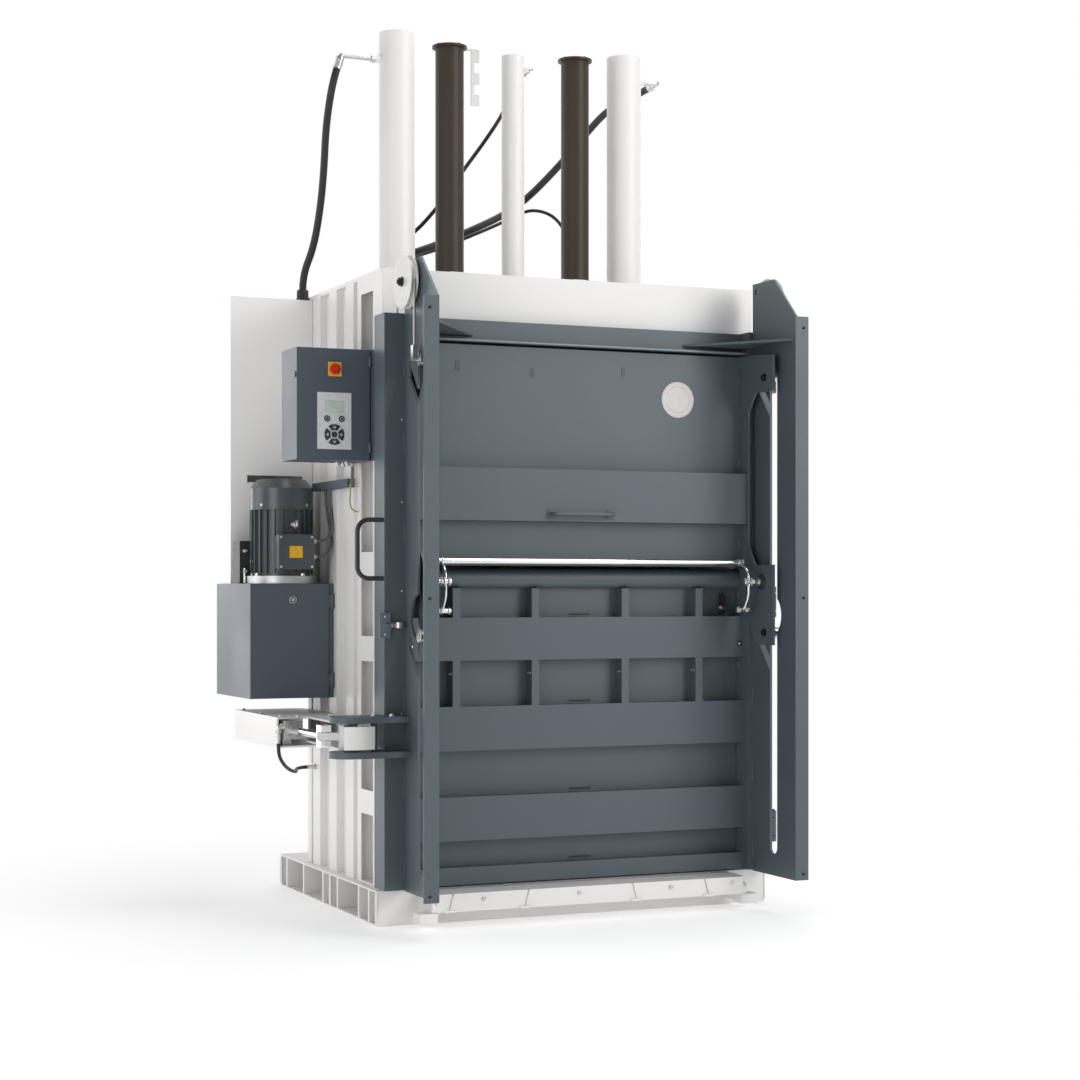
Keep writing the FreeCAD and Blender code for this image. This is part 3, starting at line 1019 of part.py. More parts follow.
def build_door_lock():
    """The console, lock cylinder and bracket on the wall, and the moving rod and claw."""
    out = (CONSOLE_X, f"-{WALL_OUT}")
    low = "console_bottom"
    high = "(console_bottom + console_height)"
    deep = ("-console_front", "console_back")
    pieces = [
        block("console_top", out, deep, (f"{high} - console_plate", high)),
        block("console_floor", out, deep, (low, f"{low} + console_plate")),
        block("console_side", (CONSOLE_X, f"{CONSOLE_X} + console_plate"), deep, (low, high)),
        block("console_back_wall", out, ("console_back - console_plate", "console_back"), (low, high)),
    ]
    root_y = f"{WALL_FRONT} + ear_start"
    outline = [
        (f"-{WALL_OUT}", "-console_front"), (f"-{WALL_OUT}", root_y), (f"-{POST_OUTER} - ear_root", root_y),
        (f"{LOCK_X} + ear_side", "-lock_y - ear_shoulder"), (f"{LOCK_X} + ear_tip", "-lock_y - ear_nose"),
        (f"{LOCK_X} - ear_tip", "-lock_y - ear_nose"), (f"{LOCK_X} - ear_side", "-lock_y"),
        (f"{LOCK_X} - ear_waist", "-lock_y + ear_back"), (f"{CONSOLE_X} + ear_end", "-console_front"),
    ]
    for start in ("lock_height - lock_half - lock_plate", "lock_height + lock_half"):
        pieces.append(plate("lock_ear", "xy", outline, (start, f"{start} + lock_plate")))
    ends = around("lock_height", "(lock_half + lock_plate)")
    pieces.append(rod("pivot_pin", "z", (LOCK_X, "-lock_y"), ends, "claw_pin"))
    pieces.append(block(
        "ear_web", (f"-{WALL_OUT} - web_thick", f"-{WALL_OUT}"),
        ("-console_front - web_reach", "-console_front + web_lap"), around("lock_height", "lock_half"),
    ))
    keep("lock_console", fuse("console", pieces))

    line = (ARM_X, "lock_height")
    head_front = "-console_front - barrel_head_length"
    back = "console_back - console_plate"
    barrel = rod("barrel_body", "y", line, ("-console_front", back), "barrel_radius")
    bore_span = ("-console_front + barrel_end", f"{back} - barrel_end")
    bore = rod("barrel_bore", "y", line, bore_span, "barrel_radius - barrel_wall")
    gland = rod("barrel_gland", "y", line, through((head_front, bore_span[0])), "ram_rod + running_gap")
    half = "barrel_head / 2"
    head = block(
        "barrel_head_block", around(ARM_X, half), (head_front, "-console_front"), around("lock_height", half),
    )
    foot = block(
        "barrel_foot", around(ARM_X, "barrel_foot_half"),
        ("-console_front + barrel_foot_start", "console_back - barrel_foot_end"),
        ("console_bottom + console_plate", "lock_height - barrel_radius + barrel_seat"),
    )
    keep("lock_cylinder", cut("barrel_bored", fuse("barrel_set", [barrel, head, foot]), [bore, gland]))

    pin_y = "(-lock_y + claw_arm * tan(claw_swing / 2 * 1 deg))"
    inner_half = "(lock_half - clevis_gap)"
    piston_at = "(-console_front + ram_start)"
    stem_span = (f"{pin_y} + clevis_length - cut_over", f"{piston_at} + cut_over")
    stem = rod("lock_stem", "y", line, stem_span, "ram_rod")
    piston_span = (piston_at, f"{piston_at} + ram_piston")
    piston = rod("lock_piston", "y", line, piston_span, "barrel_radius - barrel_wall - running_gap")
    wide = around(ARM_X, "clevis_width / 2")
    clevis = block(
        "clevis", wide, (f"{pin_y} - clevis_nose", f"{pin_y} + clevis_length"),
        around("lock_height", inner_half),
    )
    gap = block(
        "clevis_slot", through(wide),
        (f"{pin_y} - clevis_nose - cut_over", f"{pin_y} + clevis_length - clevis_web"),
        around("lock_height", "(arm_plate / 2 + clevis_gap)"),
    )
    pin = rod(
        "clevis_pin_rod", "z", (ARM_X, pin_y), around("lock_height", f"({inner_half} - cut_over)"),
        "clevis_pin",
    )
    keep("lock_rod", fuse("rod_set", [cut("clevis_forked", clevis, [gap]), stem, piston, pin]))

    thick = around("0", "(lock_half - claw_gap)")
    full = around("0", "lock_half")
    centre = ("0", "0")
    finger = cut(
        "claw_finger", rod("claw_ring", "z", centre, thick, "claw_outer"),
        [rod("claw_ring_bore", "z", centre, full, "claw_inner")],
    )
    outline = [
        ("-claw_neck", "-wedge_depth"), ("-claw_neck", "-wedge_rise"), centre,
        ("wedge_reach", "-wedge_drop"),
    ]
    pieces = [
        rod("claw_hub_disc", "z", centre, thick, "claw_hub"),
        block(
            "claw_arm_bar", ("-claw_arm - arm_end", "0"), around("0", "arm_half"),
            around("0", "arm_plate / 2"),
        ),
        block("claw_neck_bar", around("0", "claw_neck"), ("-claw_inner - neck_lap", "0"), thick),
        common("claw_tip", finger, plate("claw_wedge", "xy", outline, thick)),
    ]
    slot = block(
        "arm_slot", around("-claw_arm", "arm_slot_long"), around("0", "arm_slot_wide"),
        around("0", "arm_plate"),
    )
    eye = rod("claw_eye", "z", centre, full, "claw_pin + running_gap")
    claw = turned_group(
        "claw_turned", cut("claw", fuse("claw_whole", pieces), [slot, eye]), -1, "claw_swing / 2",
    )
    place(claw, LOCK_X, "-lock_y", "lock_height")
    keep("lock_claw", claw)


def build_ejector():
    """The bale ejector plate on the chamber floor, with its hinge tube."""
    side = f"({WALL_IN} - ejector_margin)"
    wide = (f"-{side}", side)
    deep = ("-ejector_line", "-ejector_line + ejector_length")
    line = ("-ejector_line", "ejector_height")
    flat = block("ejector_sheet", wide, deep, ("base_height", "base_height + ejector_thick"))
    tube = rod("ejector_barrel", "x", line, wide, "ejector_tube")
    bore = rod("ejector_bore", "x", line, through(wide), "ejector_pin + pin_gap")
    keep("ejector_plate", cut("ejector", fuse("ejector_whole", [flat, tube]), [bore]))


def build_tank():
    """The oil tank with its hinged cover, the cover's lock and the pump inside."""
    wall = f"-{WALL_OUT}"
    upright = ("pack_bottom", "pack_top")
    strip = block(
        "tank_flange", (f"{wall} - pack_flange", wall), ("pack_front", "pack_front + pack_wall"), upright,
    )
    tank_pieces = [
        shell("tank", (PACK_X, wall), ("pack_front", "pack_back"), upright, "pack_wall", "y-"), strip,
    ]
    hinge = (f"({wall} - cover_hinge)", "(pack_front - cover_hinge)")
    cover_back = "(pack_front - cover_gap)"
    cover_front = f"({cover_back} - cover_plate)"
    pieces = [block(
        "cover_sheet", (PACK_X, f"{wall} - pack_flange - cover_gap"), (cover_front, cover_back),
        ("pack_bottom + cover_margin", "pack_top - cover_margin"),
    )]
    for level in ("(pack_bottom + cover_level)", "(pack_top - cover_level)"):
        sleeve = around(level, "cover_sleeve")
        reach = "(cover_sleeve + cover_gap)"
        ears = around(level, f"({reach} + cover_ear)")
        for span in ((ears[0], f"{level} - {reach}"), (f"{level} + {reach}", ears[1])):
            deep = (f"{hinge[1]} - cover_ear_half", "pack_front")
            tank_pieces.append(block("cover_ear_plate", (hinge[0], wall), deep, span))
            tank_pieces.append(rod("cover_ear_disc", "z", hinge, span, "cover_ear_eye"))
        tank_pieces.append(rod("cover_pin_rod", "z", hinge, ears, "cover_pin"))
        leaf = (f"{wall} - pack_flange - cover_gap * 2", hinge[0])
        pieces.append(block("cover_leaf", leaf, (cover_front, "pack_front - leaf_gap"), sleeve))
        pieces.append(rod("cover_knuckle_tube", "z", hinge, sleeve, "cover_knuckle"))
    hole = rod(
        "tank_hole", "z", (MOTOR_X, "motor_y"), through(("pack_top - pack_wall", "pack_top")), "shaft_hole",
    )
    keep("pack_tank", cut("tank_bored", fuse("tank_whole", tank_pieces), [hole]))
    lock_at = (f"({PACK_X} + pack_width / 2)", "(pack_top - dial_drop)")
    skin = (cover_front, cover_back)
    bores = [
        rod("cover_lock_bore", "y", lock_at, through(skin), "lock_barrel + running_gap"),
        rod("cover_pin_bore", "z", hinge, upright, "cover_pin + pin_gap"),
    ]
    keep("pack_cover", cut("cover", fuse("cover_whole", pieces), bores))

    dial_back = f"{cover_front} - dial_gap"
    dial_front = f"({dial_back} - dial_height)"
    dial = rod("lock_dial", "y", lock_at, (dial_front, dial_back), "dial_radius")
    barrel = rod(
        "barrel_of_lock", "y", lock_at, (f"{dial_back} - cut_over", "pack_front + lock_key_length"),
        "lock_barrel",
    )
    slit = block(
        "lock_slit", around(lock_at[0], "slit_half"),
        (f"{dial_front} - cut_over", f"{dial_front} + slit_depth"),
        around(lock_at[1], "slit_long"),
    )
    keep("pack_lock", cut("lock_keyed", fuse("lock_whole", [dial, barrel]), [slit]))

    body = ("pack_bottom + pack_wall", "pack_bottom + pump_floor + pump_height")
    half = "pump_width / 2"
    keep("pump_block", block("pump_body", around(MOTOR_X, half), around("motor_y", half), body))


def build_motor():
    """The motor on the tank: flange, finned stator, cowl, shaft with its fan, and terminal box."""
    middle = (MOTOR_X, "motor_y")
    sleeve = "shaft_radius + shaft_gap"
    keep(
        "motor_flange",
        pipe("flange_ring", "z", middle, ("pack_top", "motor_bottom"), "flange_radius", sleeve),
    )
    top = "(motor_bottom + stator_height)"
    pieces = [rod("stator_core", "z", middle, ("motor_bottom", top), "motor_radius")]
    fins = int(number("fin_count"))
    for index in range(fins):
        long = ("motor_radius - fin_root", "motor_radius + fin_reach")
        fin = block("stator_fin", long, around("0", "fin_plate / 2"), ("motor_bottom + fin_start", top))
        holder = turned_group("stator_fin_turned", fin, 1, f"{index} * 360 / fin_count")
        place(holder, MOTOR_X, "motor_y", "0")
        pieces.append(holder)
    bore = rod("stator_bore", "z", middle, through(("motor_bottom", top)), sleeve)
    keep("motor_stator", cut("stator", fuse("stator_finned", pieces), [bore]))

    rim = "(motor_radius + fin_reach)"
    under = "(cowl_height - cowl_plate)"
    profile = [
        (rim, "0"), (rim, "cowl_height - cowl_slope"), (f"{rim} - cowl_step", "cowl_height"),
        ("cowl_hole", "cowl_height"), ("cowl_hole", under), (f"{rim} - cowl_step - cowl_plate", under),
        (f"{rim} - cowl_plate", "cowl_height - cowl_slope - cowl_plate / 2"), (f"{rim} - cowl_plate", "0"),
    ]
    keep("fan_cowl", turned("cowl", "z", (MOTOR_X, "motor_y", top), profile))
    shaft = ("pack_bottom + pump_floor + pump_height + shaft_start", f"{top} + shaft_reach")
    fan = (f"{top} + fan_rise", f"{top} + fan_rise + fan_height")
    pieces = [
        rod("rotor_shaft", "z", middle, shaft, "shaft_radius"),
        rod("fan_hub_disc", "z", middle, fan, "fan_hub"),
    ]
    for index in range(int(number("blade_count"))):
        blade = block("fan_blade", ("blade_root", "fan_radius"), around("0", "blade_plate / 2"), fan)
        holder = turned_group("fan_blade_turned", blade, 1, f"{index} * 360 / blade_count")
        place(holder, MOTOR_X, "motor_y", "0")
        pieces.append(holder)
    keep("motor_fan", fuse("fan", pieces))

    side = around(MOTOR_X, "box_width / 2")
    front = "(motor_y - motor_radius - fin_reach)"
    bottom = "(motor_bottom + box_rise)"
    high = f"({bottom} + box_height)"
    lid_back = f"{front} - box_reach"
    pieces = [
        block("terminal_case", side, (lid_back, f"{front} - box_gap"), (bottom, high)),
        block(
            "terminal_lid", (f"{side[0]} - box_margin", f"{side[1]} + box_margin"),
            (f"{lid_back} - box_lid", lid_back),
            (f"{bottom} - box_margin", f"{high} + box_margin"),
        ),
    ]
    for level in ("motor_bottom + gland_low", "motor_bottom + gland_high"):
        nut = (f"{side[1]} - cut_over", f"{side[1]} + gland_length")
        pieces.append(rod("gland_nut", "x", (f"{front} - box_reach / 2", level), nut, "gland_radius"))
    keep("terminal_box", fuse("terminal", pieces))


def build_cabinet():
    """The white valve cabinet beside the rear of the body."""
    wide = (CABINET_X, f"-{WALL_OUT}")
    upright = ("cabinet_bottom", "cabinet_top")
    case = shell("cabinet_case", wide, ("cabinet_front", "cabinet_back"), upright, "cabinet_plate", "z-")
    left = f"({CABINET_X} + vent_inset)"
    skin = through(("cabinet_front", "cabinet_front + cabinet_plate"))
    vent = block("vent", (left, f"{left} + vent_width"), skin, ("vent_bottom", "vent_bottom + vent_height"))
    keep("valve_cabinet", cut("cabinet_vented", case, [vent]))


def build_controls():
    """The control box on its bracket, its lid with switch and keypad, and the cable tray."""
    wall = f"-{WALL_OUT}"
    lid_back = "(-control_front + control_lid)"
    height = ("control_bottom", "control_top")
    case = shell(
        "control_case", (CONTROL_LEFT, CONTROL_RIGHT), (lid_back, "-control_back"), height, "sheet_plate",
        "y-",
    )
    keep("control_box", case)
    hinge = (f"({CONTROL_RIGHT} - lid_hinge - hinge_gap)", "(-control_front - lid_hinge - hinge_gap)")
    bracket = [block("bracket_plate", (CONTROL_RIGHT, wall), ("-control_bracket", "-control_back"), height)]
    lid = [
        block(
            "lid_sheet", (CONTROL_LEFT, f"{CONTROL_RIGHT} - lid_inset"),
            ("-control_front", f"{lid_back} - lid_gap"), height,
        ),
    ]
    for level in ("(control_bottom + lid_level)", "(control_top - lid_level)"):
        sleeve = around(level, "lid_sleeve")
        ear_top = f"{sleeve[1]} + hinge_gap + hinge_ear"
        ear = (f"{hinge[0]} - hinge_ear_half", f"{CONTROL_RIGHT} + cut_over")
        deep = around(hinge[1], "hinge_ear_half")
        bracket.append(block("lid_ear", ear, deep, (f"{sleeve[1]} + hinge_gap", ear_top)))
        bracket.append(rod("lid_pin_rod", "z", hinge, (f"{sleeve[0]} + hinge_gap", ear_top), "lid_pin"))
        leaf = (f"{hinge[0]} - lid_hinge", f"{hinge[0]} + hinge_gap")
        lid.append(rod("lid_sleeve_tube", "z", hinge, sleeve, "lid_hinge"))
        lid.append(block("lid_leaf", leaf, (hinge[1], "-control_front + cut_over"), sleeve))
    tray = block(
        "tray", (f"{wall} - tray_depth", wall), ("-tray_front", "tray_back"),
        ("tray_bottom", "tray_bottom + tray_height"),
    )
    keep("box_bracket", group("bracket_set", [fuse("bracket", bracket), tray]))

    plate_front = "(-control_front - switch_plate)"
    half = "switch_size / 2"
    lid.append(block(
        "switch_plate_block", around(SWITCH_X, half), (plate_front, "-control_front + cut_over"),
        around("switch_z", half),
    ))
    latch = (f"{CONTROL_LEFT} - latch_reach", f"{CONTROL_LEFT} + cut_over")
    latch_at = ("-control_front + control_lid / 2", "switch_z - latch_under")
    lid.append(rod("lid_latch", "x", latch_at, latch, "latch_radius"))
    switch_at = (SWITCH_X, "switch_z")
    spindle = (f"{plate_front} - cut_over", lid_back)
    bores = [
        rod("lid_bore", "z", hinge, height, "lid_pin + pin_gap"),
        rod("knob_bore", "y", switch_at, spindle, "knob_spindle + running_gap"),
    ]
    keep("control_door", cut("lid", fuse("lid_whole", lid), bores))
    knob_back = f"({plate_front} - knob_gap)"
    waist = f"{knob_back} - knob_length / 2"
    disc = rod("knob_disc", "y", switch_at, (waist, knob_back), "knob_radius + knob_rim")
    wing = block(
        "knob_wing_block", around(SWITCH_X, "knob_wing"),
        (f"{knob_back} - knob_length", f"{waist} + cut_over"),
        around("switch_z", "knob_radius"),
    )
    post = rod(
        "knob_post", "y", switch_at, (f"{knob_back} - cut_over", "-control_front + control_lid / 2"),
        "knob_spindle",
    )
    keep("switch_knob", fuse("knob", [disc, wing, post]))
    left = f"({wall} - keypad_reach)"
    keep("keypad", block(
        "keypad_plate_block", (left, f"{left} + keypad_width"),
        ("-control_front - keypad_plate", "-control_front"),
        ("keypad_bottom", "keypad_bottom + keypad_height"),
    ))


def straight(start, end, radius):
    """A round bar between two points, in any direction."""
    return Part.makeCylinder(radius, (end - start).Length, start, end - start)


def elbow(points, radius, nut):
    """A bright pipe with one bend and a nut at each end."""
    solid, _, _ = swept(points, radius, radius * number("pipe_bend"))
    for end, inner in ((points[0], points[1]), (points[-1], points[-2])):
        reach = (inner - end).normalize() * min(nut, (inner - end).Length / 2)
        solid = solid.fuse(straight(end, end + reach, nut))
    return solid.removeSplitter()


def build_hoses():
    """Hydraulic hoses with their fittings, the motor and control cables and the earth wire."""
    cords("left_hose", [("left_hose", "hose_radius")])
    cords("right_hose", [("right_hose", "hose_radius")])
    cords("thin_hoses", [("centre_hose", "thin_radius"), ("link_hose", "link_radius")])
    cords("lock_hose", [("lock_hose", "link_radius")])
    wires = [(name, "wire_radius") for name in ("motor_cable", "brake_cable", "control_cable")]
    cords("power_cables", wires + [("earth_wire", "earth_radius")])

    line = number("cylinder_line")
    side_port = number("cylinder_spacing / 2 + cylinder_radius + port_length")
    wide = number("pipe_radius")
    wide_nut = number("pipe_radius + nut_step")
    solids = []
    for name, side in (("left", -1), ("right", 1)):
        start, ahead = [FreeCAD.Vector(*point) for point in ROUTES[f"{name}_hose"][:2]]
        port = FreeCAD.Vector(side * side_port, line, number(f"cylinder_top - {name}_port_drop"))
        if side < 0:
            share = (port.z - start.z) / (ahead.z - start.z)
        else:
            share = (port.y - start.y) / (ahead.y - start.y)
        solids.append(elbow([port, start + (ahead - start) * share, start], wide, wide_nut))
    thin = number("thin_pipe")
    thin_nut = number("thin_pipe + thin_nut_step")
    start = FreeCAD.Vector(*ROUTES["centre_hose"][0])
    port = FreeCAD.Vector(
        number("centre_radius + port_length"), line, number("centre_top - centre_port_drop"),
    )
    solids.append(elbow([port, FreeCAD.Vector(start.x, line, port.z), start], thin, thin_nut))
    start = FreeCAD.Vector(*ROUTES["lock_hose"][0])
    port = FreeCAD.Vector(
        number(f"{ARM_X} - barrel_head / 2"), start.y, number("lock_height + lock_port_rise"),
    )
    solids.append(elbow([port, FreeCAD.Vector(start.x, start.y, port.z), start], thin, thin_nut))
    deck = number(HEAD_TOP)
    stubs = (
        ("left_hose", -1, number("cabinet_top"), "hose_radius"), ("right_hose", -1, deck, "hose_radius"),
        ("centre_hose", -1, deck, "thin_radius"), ("link_hose", 0, deck, "link_radius"),
        ("link_hose", -1, deck, "link_radius"),
    )
    for name, index, level, radius in stubs:
        end = FreeCAD.Vector(*ROUTES[name][index])
        solids.append(straight(FreeCAD.Vector(end.x, end.y, level), end, number(f"{radius} + stub_step")))
    end = FreeCAD.Vector(*ROUTES["lock_hose"][-1])
    wall = FreeCAD.Vector(number(f"-{WALL_OUT}"), end.y, end.z)
    solids.append(straight(end, wall, number("link_radius + stub_step")))
    item = doc.addObject("Part::Feature", "fittings")
    item.Shape = Part.makeCompound(solids)
    keep("hose_fittings", item)


doc.recompute()
build_base()
build_walls()
build_head()
build_cylinders()
build_ram()
build_door_frame()
build_door_hinges()
build_door_panel()
build_cheeks()
build_flap()
build_handle_bar()
build_counterbalance()
build_door_furniture()
build_door_lock()
build_ejector()
build_tank()
build_motor()
build_cabinet()
build_controls()
build_hoses()
doc.recompute()

faults = [item.Name for item in doc.Objects if "Invalid" in item.State or "Error" in item.State]
for node, item in NODES.items():
    if item.Shape.isNull() or not item.Shape.isValid() or not item.Shape.Solids:
        faults.append(node)
if faults:
    raise RuntimeError("These pieces failed: " + ", ".join(faults))

os.makedirs("parts", exist_ok=True)
for node, item in NODES.items():
    item.Shape.exportStep(f"parts/{node}.step")
    print(node, len(item.Shape.Solids), round(item.Shape.Volume / 1e6, 3))
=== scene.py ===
"""Looks of a vertical recycling baler, in metres: paint, bright metal, rubber and the small details.

X runs to the machine's right, Y to its back and Z up. The origin is on the floor, under the base.
"""

import json
import math

import bmesh
import bpy
from mathutils import Matrix, Vector


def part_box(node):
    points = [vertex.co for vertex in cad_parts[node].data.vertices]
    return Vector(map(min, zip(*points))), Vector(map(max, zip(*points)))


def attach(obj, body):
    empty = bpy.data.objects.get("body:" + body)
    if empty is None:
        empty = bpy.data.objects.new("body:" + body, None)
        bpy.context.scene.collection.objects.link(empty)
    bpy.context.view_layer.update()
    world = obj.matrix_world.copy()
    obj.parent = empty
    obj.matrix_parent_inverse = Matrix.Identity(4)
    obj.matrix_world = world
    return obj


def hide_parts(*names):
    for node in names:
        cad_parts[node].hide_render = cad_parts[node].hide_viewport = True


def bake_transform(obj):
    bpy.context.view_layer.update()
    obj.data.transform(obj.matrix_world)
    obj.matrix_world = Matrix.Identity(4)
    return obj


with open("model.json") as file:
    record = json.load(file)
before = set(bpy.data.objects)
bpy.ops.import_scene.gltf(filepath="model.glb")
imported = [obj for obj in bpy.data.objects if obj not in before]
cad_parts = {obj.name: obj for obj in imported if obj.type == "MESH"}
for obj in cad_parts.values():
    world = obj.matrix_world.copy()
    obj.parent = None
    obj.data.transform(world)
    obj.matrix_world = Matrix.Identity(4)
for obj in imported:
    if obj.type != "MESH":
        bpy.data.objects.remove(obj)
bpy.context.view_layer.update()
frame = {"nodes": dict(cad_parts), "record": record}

MM = 0.001
X, Y, Z = Vector((1, 0, 0)), Vector((0, 1, 0)), Vector((0, 0, 1))
FORWARD = (0, -1, 0)  # towards the one who stands before the machine
LEFT = (-1, 0, 0)


# ---- materials

def add(tree, kind, inputs=None, **settings):
    """A node with its settings, and with its inputs linked or set."""
    node = tree.nodes.new(kind)
    for key, value in settings.items():
        setattr(node, key, value)
    for socket, value in (inputs or {}).items():
        if isinstance(value, bpy.types.NodeSocket):
            tree.links.new(value, node.inputs[socket])
        else:
            node.inputs[socket].default_value = value
    return node


def begin(name, **uniform):
    """A new material: its tree, its shader and the coordinates of the piece that wears it."""
    material = bpy.data.materials.new(name)
    material.use_nodes = True
    tree = material.node_tree
    shader = tree.nodes["Principled BSDF"]
    for socket, value in uniform.items():
        shader.inputs[socket.replace("_", " ")].default_value = value
    where = add(tree, "ShaderNodeTexCoord").outputs["Object"]
    return material, tree, shader, where


def maths(tree, operation, first, second):
    """The result of a sum on two values."""
    return add(tree, "ShaderNodeMath", {0: first, 1: second}, operation=operation).outputs[0]


def noise(tree, where, scale, detail=2.0, stretch=None):
    """Cloudy noise; stretch squeezes it along each axis."""
    if stretch:
        where = add(tree, "ShaderNodeMapping", {"Vector": where, "Scale": stretch}).outputs[0]
    inputs = {"Vector": where, "Scale": scale, "Detail": detail}
    return add(tree, "ShaderNodeTexNoise", inputs).outputs["Fac"]


def spread(tree, value, low, high):
    """Noise carried from its middle range to a new range."""
    inputs = {"Value": value, "From Min": 0.3, "From Max": 0.7, "To Min": low, "To Max": high}
    return add(tree, "ShaderNodeMapRange", inputs).outputs[0]


def tones(tree, value, dark, light):
    """Two shades of a colour along a value."""
    ramp = add(tree, "ShaderNodeValToRGB", {"Fac": value})
    for element, place, colour in zip(ramp.color_ramp.elements, (0.3, 0.7), (dark, light)):
        element.position = place
        element.color = (*colour, 1.0)
    return ramp.outputs["Color"]


def shade(colour, factor):
    """A colour made darker or lighter."""
    return tuple(min(1.0, part * factor) for part in colour)


def coat(tree, shader, tone, rough):
    """Give the shader its colour and its roughness."""
    tree.links.new(tone, shader.inputs["Base Color"])
    tree.links.new(rough, shader.inputs["Roughness"])


def relief(tree, shader, height, distance, strength=1.0, rounding=0.0):
    """Bumps on the surface, over edges that the coat has rounded."""
    inputs = {"Height": height, "Distance": distance, "Strength": strength}
    if rounding:
        inputs["Normal"] = add(tree, "ShaderNodeBevel", {"Radius": rounding}, samples=4).outputs[0]
    bump = add(tree, "ShaderNodeBump", inputs)
    tree.links.new(bump.outputs[0], shader.inputs["Normal"])


def paint(name, colour, gloss=0.42, variation=0.05, peel=0.35, rounding=0.0014, **uniform):
    """Sprayed coat: faint clouds in its tone and gloss, orange peel, and rounded edges."""
    material, tree, shader, where = begin(name, **uniform)
    clouds = noise(tree, where, scale=2.4, detail=5.0)
    specks = noise(tree, where, scale=160.0, detail=3.0)
    middle = maths(tree, "MULTIPLY", maths(tree, "ADD", clouds, specks), 0.5)
    tone = tones(tree, middle, shade(colour, 1 - variation), shade(colour, 1 + variation))
    coat(tree, shader, tone, spread(tree, clouds, gloss - 0.04, gloss + 0.06))
    bumps = noise(tree, where, scale=380.0, detail=2.0)
    relief(tree, shader, bumps, distance=0.0002, strength=peel, rounding=rounding)
    return material


def metal(name, colour, rough, streaks=(1.0, 1.0, 1.0), variation=0.12, grain=0.3):
    """Plated or machined metal with fine streaks."""
    material, tree, shader, where = begin(name, Metallic=1.0)
    lines = noise(tree, where, scale=300.0, detail=4.0, stretch=streaks)
    patches = noise(tree, where, scale=35.0, detail=3.0)
    tone = tones(tree, patches, shade(colour, 1 - variation), shade(colour, 1 + variation * 0.5))
    coat(tree, shader, tone, spread(tree, lines, rough * 0.75, rough * 1.3))
    relief(tree, shader, lines, distance=0.00008, strength=grain, rounding=0.0006)
    return material


def part_plated(name, colour, bright, span, **uniform):
    """A coat that gives way to bright zinc over a span along X."""
    material = paint(name, colour, variation=0.09, **uniform)
    tree = material.node_tree
    shader = tree.nodes["Principled BSDF"]
    where = add(tree, "ShaderNodeTexCoord").outputs["Object"]
    across = add(tree, "ShaderNodeSeparateXYZ", {"Vector": where}).outputs["X"]
    after = maths(tree, "GREATER_THAN", across, span[0])
    before = maths(tree, "LESS_THAN", across, span[1])
    plated = maths(tree, "MULTIPLY", after, before)
    mixed = add(tree, "ShaderNodeMix", {"Factor": plated}, data_type="RGBA")
    tree.links.new(shader.inputs["Base Color"].links[0].from_socket, mixed.inputs["A"])
    mixed.inputs["B"].default_value = (*bright, 1.0)
    tree.links.new(mixed.outputs["Result"], shader.inputs["Base Color"])
    tree.links.new(plated, shader.inputs["Metallic"])
    return material


def plastic(name, colour, rough, grain=0.25, scale=900.0, **uniform):
    """Moulded plastic, film or rubber with a fine grain."""
    material, tree, shader, where = begin(name, **uniform)
    clouds = noise(tree, where, scale=60.0, detail=3.0)
    tone = tones(tree, clouds, shade(colour, 0.93), shade(colour, 1.07))
    coat(tree, shader, tone, spread(tree, clouds, rough - 0.04, rough + 0.05))
    bumps = noise(tree, where, scale, detail=2.0)
    relief(tree, shader, bumps, distance=0.0001, strength=grain, rounding=0.0004)
    return material


def wrapped_rubber(name, colour, rough):
    """Hose cover with the faint diagonal print of the cloth that it was cured in."""
    material, tree, shader, where = begin(name, Specular_IOR_Level=0.45)
    cloth = []
    for turn in (0.8, -0.8):
        slanted = add(tree, "ShaderNodeMapping", {"Vector": where, "Rotation": (0.0, turn, turn)})
        inputs = {"Vector": slanted.outputs[0], "Scale": 130.0, "Distortion": 0.6, "Detail": 1.0}
        cloth.append(add(tree, "ShaderNodeTexWave", inputs).outputs["Fac"])
    weave = maths(tree, "MULTIPLY", *cloth)
    dust = noise(tree, where, scale=9.0, detail=4.0)
    tone = tones(tree, dust, shade(colour, 0.85), shade(colour, 1.3))
    coat(tree, shader, tone, spread(tree, dust, rough - 0.06, rough + 0.08))
    relief(tree, shader, weave, distance=0.00012, strength=0.5)
    return material


def banded(name, first, second, scale, tilt, rough, metallic=0.0):
    """Two colours in slanted bands, as on twisted strands or an earth wire."""
    material, tree, shader, where = begin(name, Metallic=metallic)
    slanted = add(tree, "ShaderNodeMapping", {"Vector": where, "Rotation": tilt}).outputs[0]
    inputs = {"Vector": slanted, "Scale": scale, "Distortion": 0.3}
    bands = add(tree, "ShaderNodeTexWave", inputs).outputs["Fac"]
    tone = tones(tree, bands, first, second)
    clouds = noise(tree, where, scale=200.0)
    coat(tree, shader, tone, spread(tree, clouds, rough - 0.05, rough + 0.05))
    relief(tree, shader, bands, distance=0.0004, strength=0.6)
    return material


WHITE = (0.826, 0.814, 0.802)
GREY = (0.082, 0.107, 0.123)
BROWN = (0.047, 0.033, 0.023)
ZINC = (0.66, 0.66, 0.65)
DULL_ZINC = (0.46, 0.455, 0.45)
STRIP_SPAN = (-0.178, -0.02)  # the stepped strip between the guide tubes' caps, along X
EYE_SPAN = (-0.6815, 0.0)  # the latch's eyebolt, along X

